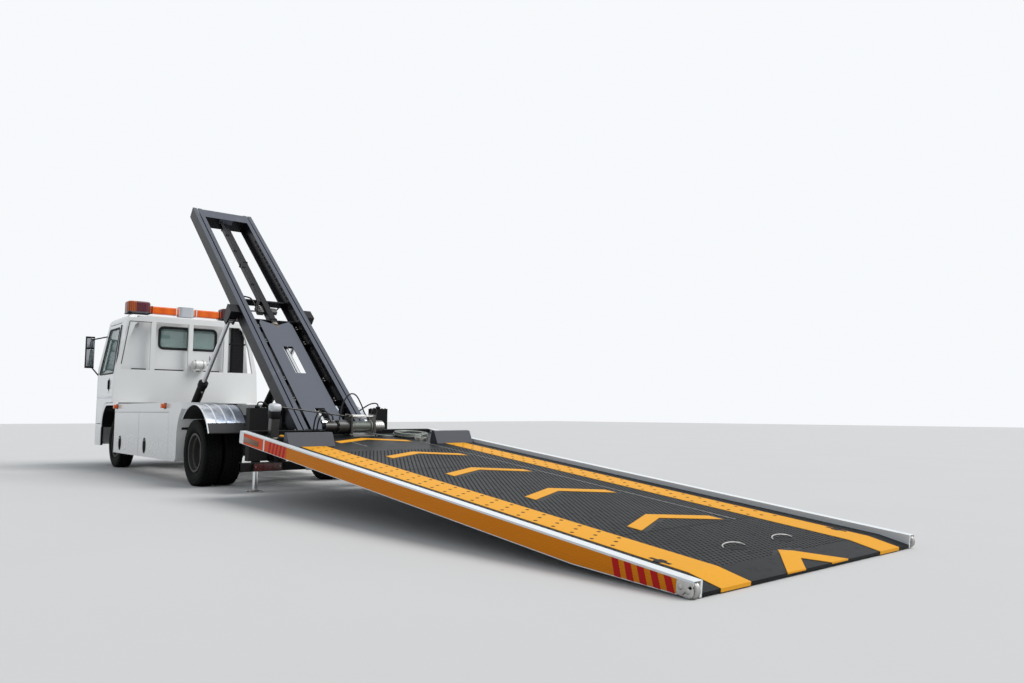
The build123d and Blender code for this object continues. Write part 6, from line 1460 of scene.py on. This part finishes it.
def noseParts():
    # grille on the leaning panel under the windscreen, and the wipers
    form = Form()
    lean = Matrix(((-0.2591, 0, 0.9659, 5.2850), (0, 1, 0, 0), (0.9659, 0, 0.2591, 1.1500), (0, 0, 0, 1)))
    form.prism([(5.2850 - 0.2591 * s + 0.9659 * n, 1.1500 + 0.9659 * s + 0.2591 * n) for s,
                n in ((0.050, -0.004), (0.300, -0.004), (0.300, 0.004), (0.050, 0.004))], -0.54, 0.54,
               blackTrim, 0.002)
    form.grown(boxTree.grow(rimDark, Count=7, Pitch=0.034, Long=0.012, Wide=1.02, High=0.008),
               lean @ at(0.073, 0, 0.006), rimDark)
    for side in (1, -1):
        pivot = Vector((5.178, side * 0.36, 1.566))
        tip = Vector((4.958, side * 0.06, 2.030))
        form.rod(pivot + Vector((0.012, 0, 0)), pivot + Vector((0.034, 0, 0.010)), 0.016, blackTrim, 14)
        form.rod(pivot + Vector((0.030, 0, 0.008)), tip + Vector((0.030, 0, 0.012)), 0.006, blackTrim, 8)
        blade = (tip - pivot).normalized() * 0.27
        middle = pivot.lerp(tip, 0.62) + Vector((0.024, 0, 0.010))
        form.rod(middle - blade, middle + blade * 0.95, 0.007, rubberSeal, 8)
    form.piece("noseParts", "chassis")


def mirrorGlasses():
    form = Form()
    for side in (1, -1):
        for low, high in ((1.668, 1.960), (1.990, 2.150)):
            form.sideBlock(side, (5.098, 5.1045), (1.112, 1.228), (low, high), mirrorPane, 0.004)
    form.piece("mirrorGlasses", "chassis")


cabSeals()
cabBack()
intakeParts()
noseParts()
mirrorGlasses()

# Lockers: recessed handles, marker lamps on their bases and rivet lines
locker = {"face": 1.090, "handles": (3.270, 1.990), "handleZ": 0.425, "handleWide": 0.062,
          "handleHigh": 0.102, "markers": (3.502, 1.101), "markerZ": 0.975, "markerOut": 1.146}


def lockerHandle(form, side, x):
    z, wide, high = locker["handleZ"], locker["handleWide"], locker["handleHigh"]
    # the recess is a dark oval sheet: painted shade
    oval = ellipse(x, z, wide, high, 28)
    near, far = sorted((side * (locker["face"] - 0.002), side * (locker["face"] + 0.0015)))
    form.prism(oval, near, far, shadeAndSeamDark)
    path = [(a, side * locker["face"], b) for a, b in ellipse(x, z, wide + 0.002, high + 0.002, 28)]
    form.sweep(path, sealSection(0.012, 0.005), (0, side, 0), blackTrim, True)
    form.sideBlock(side, (x - 0.020, x + 0.020), (locker["face"] + 0.001, locker["face"] + 0.016),
                   (z - 0.070, z + 0.050), blackTrim, 0.007)
    form.turned(((0, 0), (0, 0.012), (0.004, 0.012), (0.004, 0)),
                (x, side * (locker["face"] + 0.0012), z + 0.074), (0, side, 0), zincMetal, 14)


for word, side in sides:
    for order, x in (("front", locker["handles"][0]), ("rear", locker["handles"][1])):
        doorForm = Form()
        lockerHandle(doorForm, side, x)
        doorForm.piece(f"{order}LockerHandle{word}", f"{word.lower()}_{order}_locker_door")
bandForm = Form()
for side in (1, -1):
    for x in locker["markers"]:
        z = locker["markerZ"]
        bandForm.sideBlock(side, (x - 0.043, x + 0.043), (1.0895, 1.0975), (z - 0.038, z + 0.038),
                           blackTrim, 0.003)
        bandForm.sideBlock(side, (x - 0.034, x + 0.034), (1.0960, locker["markerOut"]),
                           (z - 0.030, z + 0.030), amberGlass, 0.008)
    bandForm.grown(headTree.grow(cabWhite, Count=32, Pitch=0.083, Width=0.009, High=0.0022, Sides=10,
                                 Taper=0.55), facingSide(0.99, side * locker["face"], 0.908, side),
                   cabWhite)
bandForm.piece("lockerBandParts", "chassis")

# Light bar: end caps, clamps, feet and the bright middle unit
bar = {"x": 3.900, "tubeZ": 2.572}


def lightBarParts():
    form = Form()
    x, z = bar["x"], bar["tubeZ"]
    for side in (1, -1):
        for y in (0.165, 0.555):
            near, far = sorted((side * y - 0.010, side * y + 0.010))
            form.block((x - 0.080, near, z - 0.066), (x + 0.080, far, z + 0.066),
                       plateWhite if y < 0.3 else blackTrim, 0.010)
        form.sideBlock(side, (x - 0.138, x + 0.138), (0.590, 0.925), (2.486, 2.512), blackTrim, 0.010)
        form.block((x - 0.060, side * 0.650 - 0.030, 2.466), (x + 0.060, side * 0.650 + 0.030, 2.490),
                   nutSteel, 0.003)
        form.grown(headTree.grow(zincMetal, Count=2, Pitch=0.09, Width=0.016, High=0.008),
                   at(x - 0.045, side * 0.700, 2.4705), zincMetal)
    form.turned(((0, 0), (0, 0.088), (0.010, 0.092), (0.040, 0.090), (0.062, 0.078), (0.076, 0.052),
                 (0.082, 0.020), (0.083, 0)), (x, 0, 2.560), (0, 0, 1), ventGrey, 32)
    form.piece("lightBarParts", "chassis")


lightBarParts()
print("cab dressed")

# Camera, floor and light
view = {"place": (-9.9448 + 1.1243, 4.3702, 0.8907), "yaw": radians(-40.013), "pitch": radians(5.163),
        "roll": radians(0.184), "lens": 27.95}
ahead = Vector((cos(view["yaw"]) * cos(view["pitch"]), sin(view["yaw"]) * cos(view["pitch"]),
                sin(view["pitch"])))
right = ahead.cross(Vector((0, 0, 1))).normalized()
upward = right.cross(ahead)
rolledRight = right * cos(view["roll"]) + upward * sin(view["roll"])
rolledUp = upward * cos(view["roll"]) - right * sin(view["roll"])
lensData = bpy.data.cameras.new("photoCamera")
lensData.lens = view["lens"]
lensData.sensor_width = 36.0
lensData.clip_end = 200.0
photoCamera = bpy.data.objects.new("photoCamera", lensData)
bpy.context.scene.collection.objects.link(photoCamera)
photoCamera.matrix_world = Matrix([[rolledRight[i], rolledUp[i], -ahead[i], view["place"][i]]
                                   for i in range(3)] + [[0, 0, 0, 1]])
bpy.context.scene.camera = photoCamera

studio = {"floorHalf": 60.0, "floorColour": (0.56, 0.55, 0.535), "sky": (0.80, 0.87, 0.95),
          "skyStrength": 0.60, "sunStrength": 2.45, "sunAngle": radians(38),
          "sunTurn": (radians(38), radians(8), radians(-55))}
floorForm = Form(Matrix.Identity(4))
floorFinish = Finish("FloorConcrete", rough=0.85)
mottle = floorFinish.noise(0.6, 6.0)
floorFinish.set(colour=floorFinish.blend(mottle, studio["floorColour"],
                                         tuple(c * 1.06 for c in studio["floorColour"])))
half = studio["floorHalf"]
floorForm.add([(-half, -half, 0), (half, -half, 0), (half, half, 0), (-half, half, 0)], [(0, 1, 2, 3)],
              floorFinish)
floorMesh = bpy.data.meshes.new("floor")
floorForm.mesh.to_mesh(floorMesh)
floorMesh.materials.append(floorFinish.material)
floor = bpy.data.objects.new("floor", floorMesh)
bpy.context.scene.collection.objects.link(floor)

world = bpy.data.worlds.new("studioWorld")
bpy.context.scene.world = world
world.use_nodes = True
sky = world.node_tree
sky.nodes.clear()
dim = sky.nodes.new("ShaderNodeBackground")
dim.inputs[0].default_value = (*studio["sky"], 1.0)
dim.inputs[1].default_value = studio["skyStrength"]
bright = sky.nodes.new("ShaderNodeBackground")
bright.inputs[0].default_value = (0.93, 0.95, 0.97, 1.0)
rays = sky.nodes.new("ShaderNodeLightPath")
seen = Sock(sky, rays.outputs["Is Camera Ray"]).top(Sock(sky, rays.outputs["Is Glossy Ray"]) * 0.9).top(
    Sock(sky, rays.outputs["Is Transmission Ray"]))
chooser = sky.nodes.new("ShaderNodeMixShader")
link(sky, seen, chooser.inputs[0])
sky.links.new(dim.outputs[0], chooser.inputs[1])
sky.links.new(bright.outputs[0], chooser.inputs[2])
worldOut = sky.nodes.new("ShaderNodeOutputWorld")
sky.links.new(chooser.outputs[0], worldOut.inputs[0])

sunData = bpy.data.lights.new("softSun", "SUN")
sunData.energy = studio["sunStrength"]
sunData.angle = studio["sunAngle"]
sun = bpy.data.objects.new("softSun", sunData)
sun.rotation_euler = studio["sunTurn"]
bpy.context.scene.collection.objects.link(sun)
bpy.context.scene.view_settings.view_transform = "Standard"
print("camera and light ready")
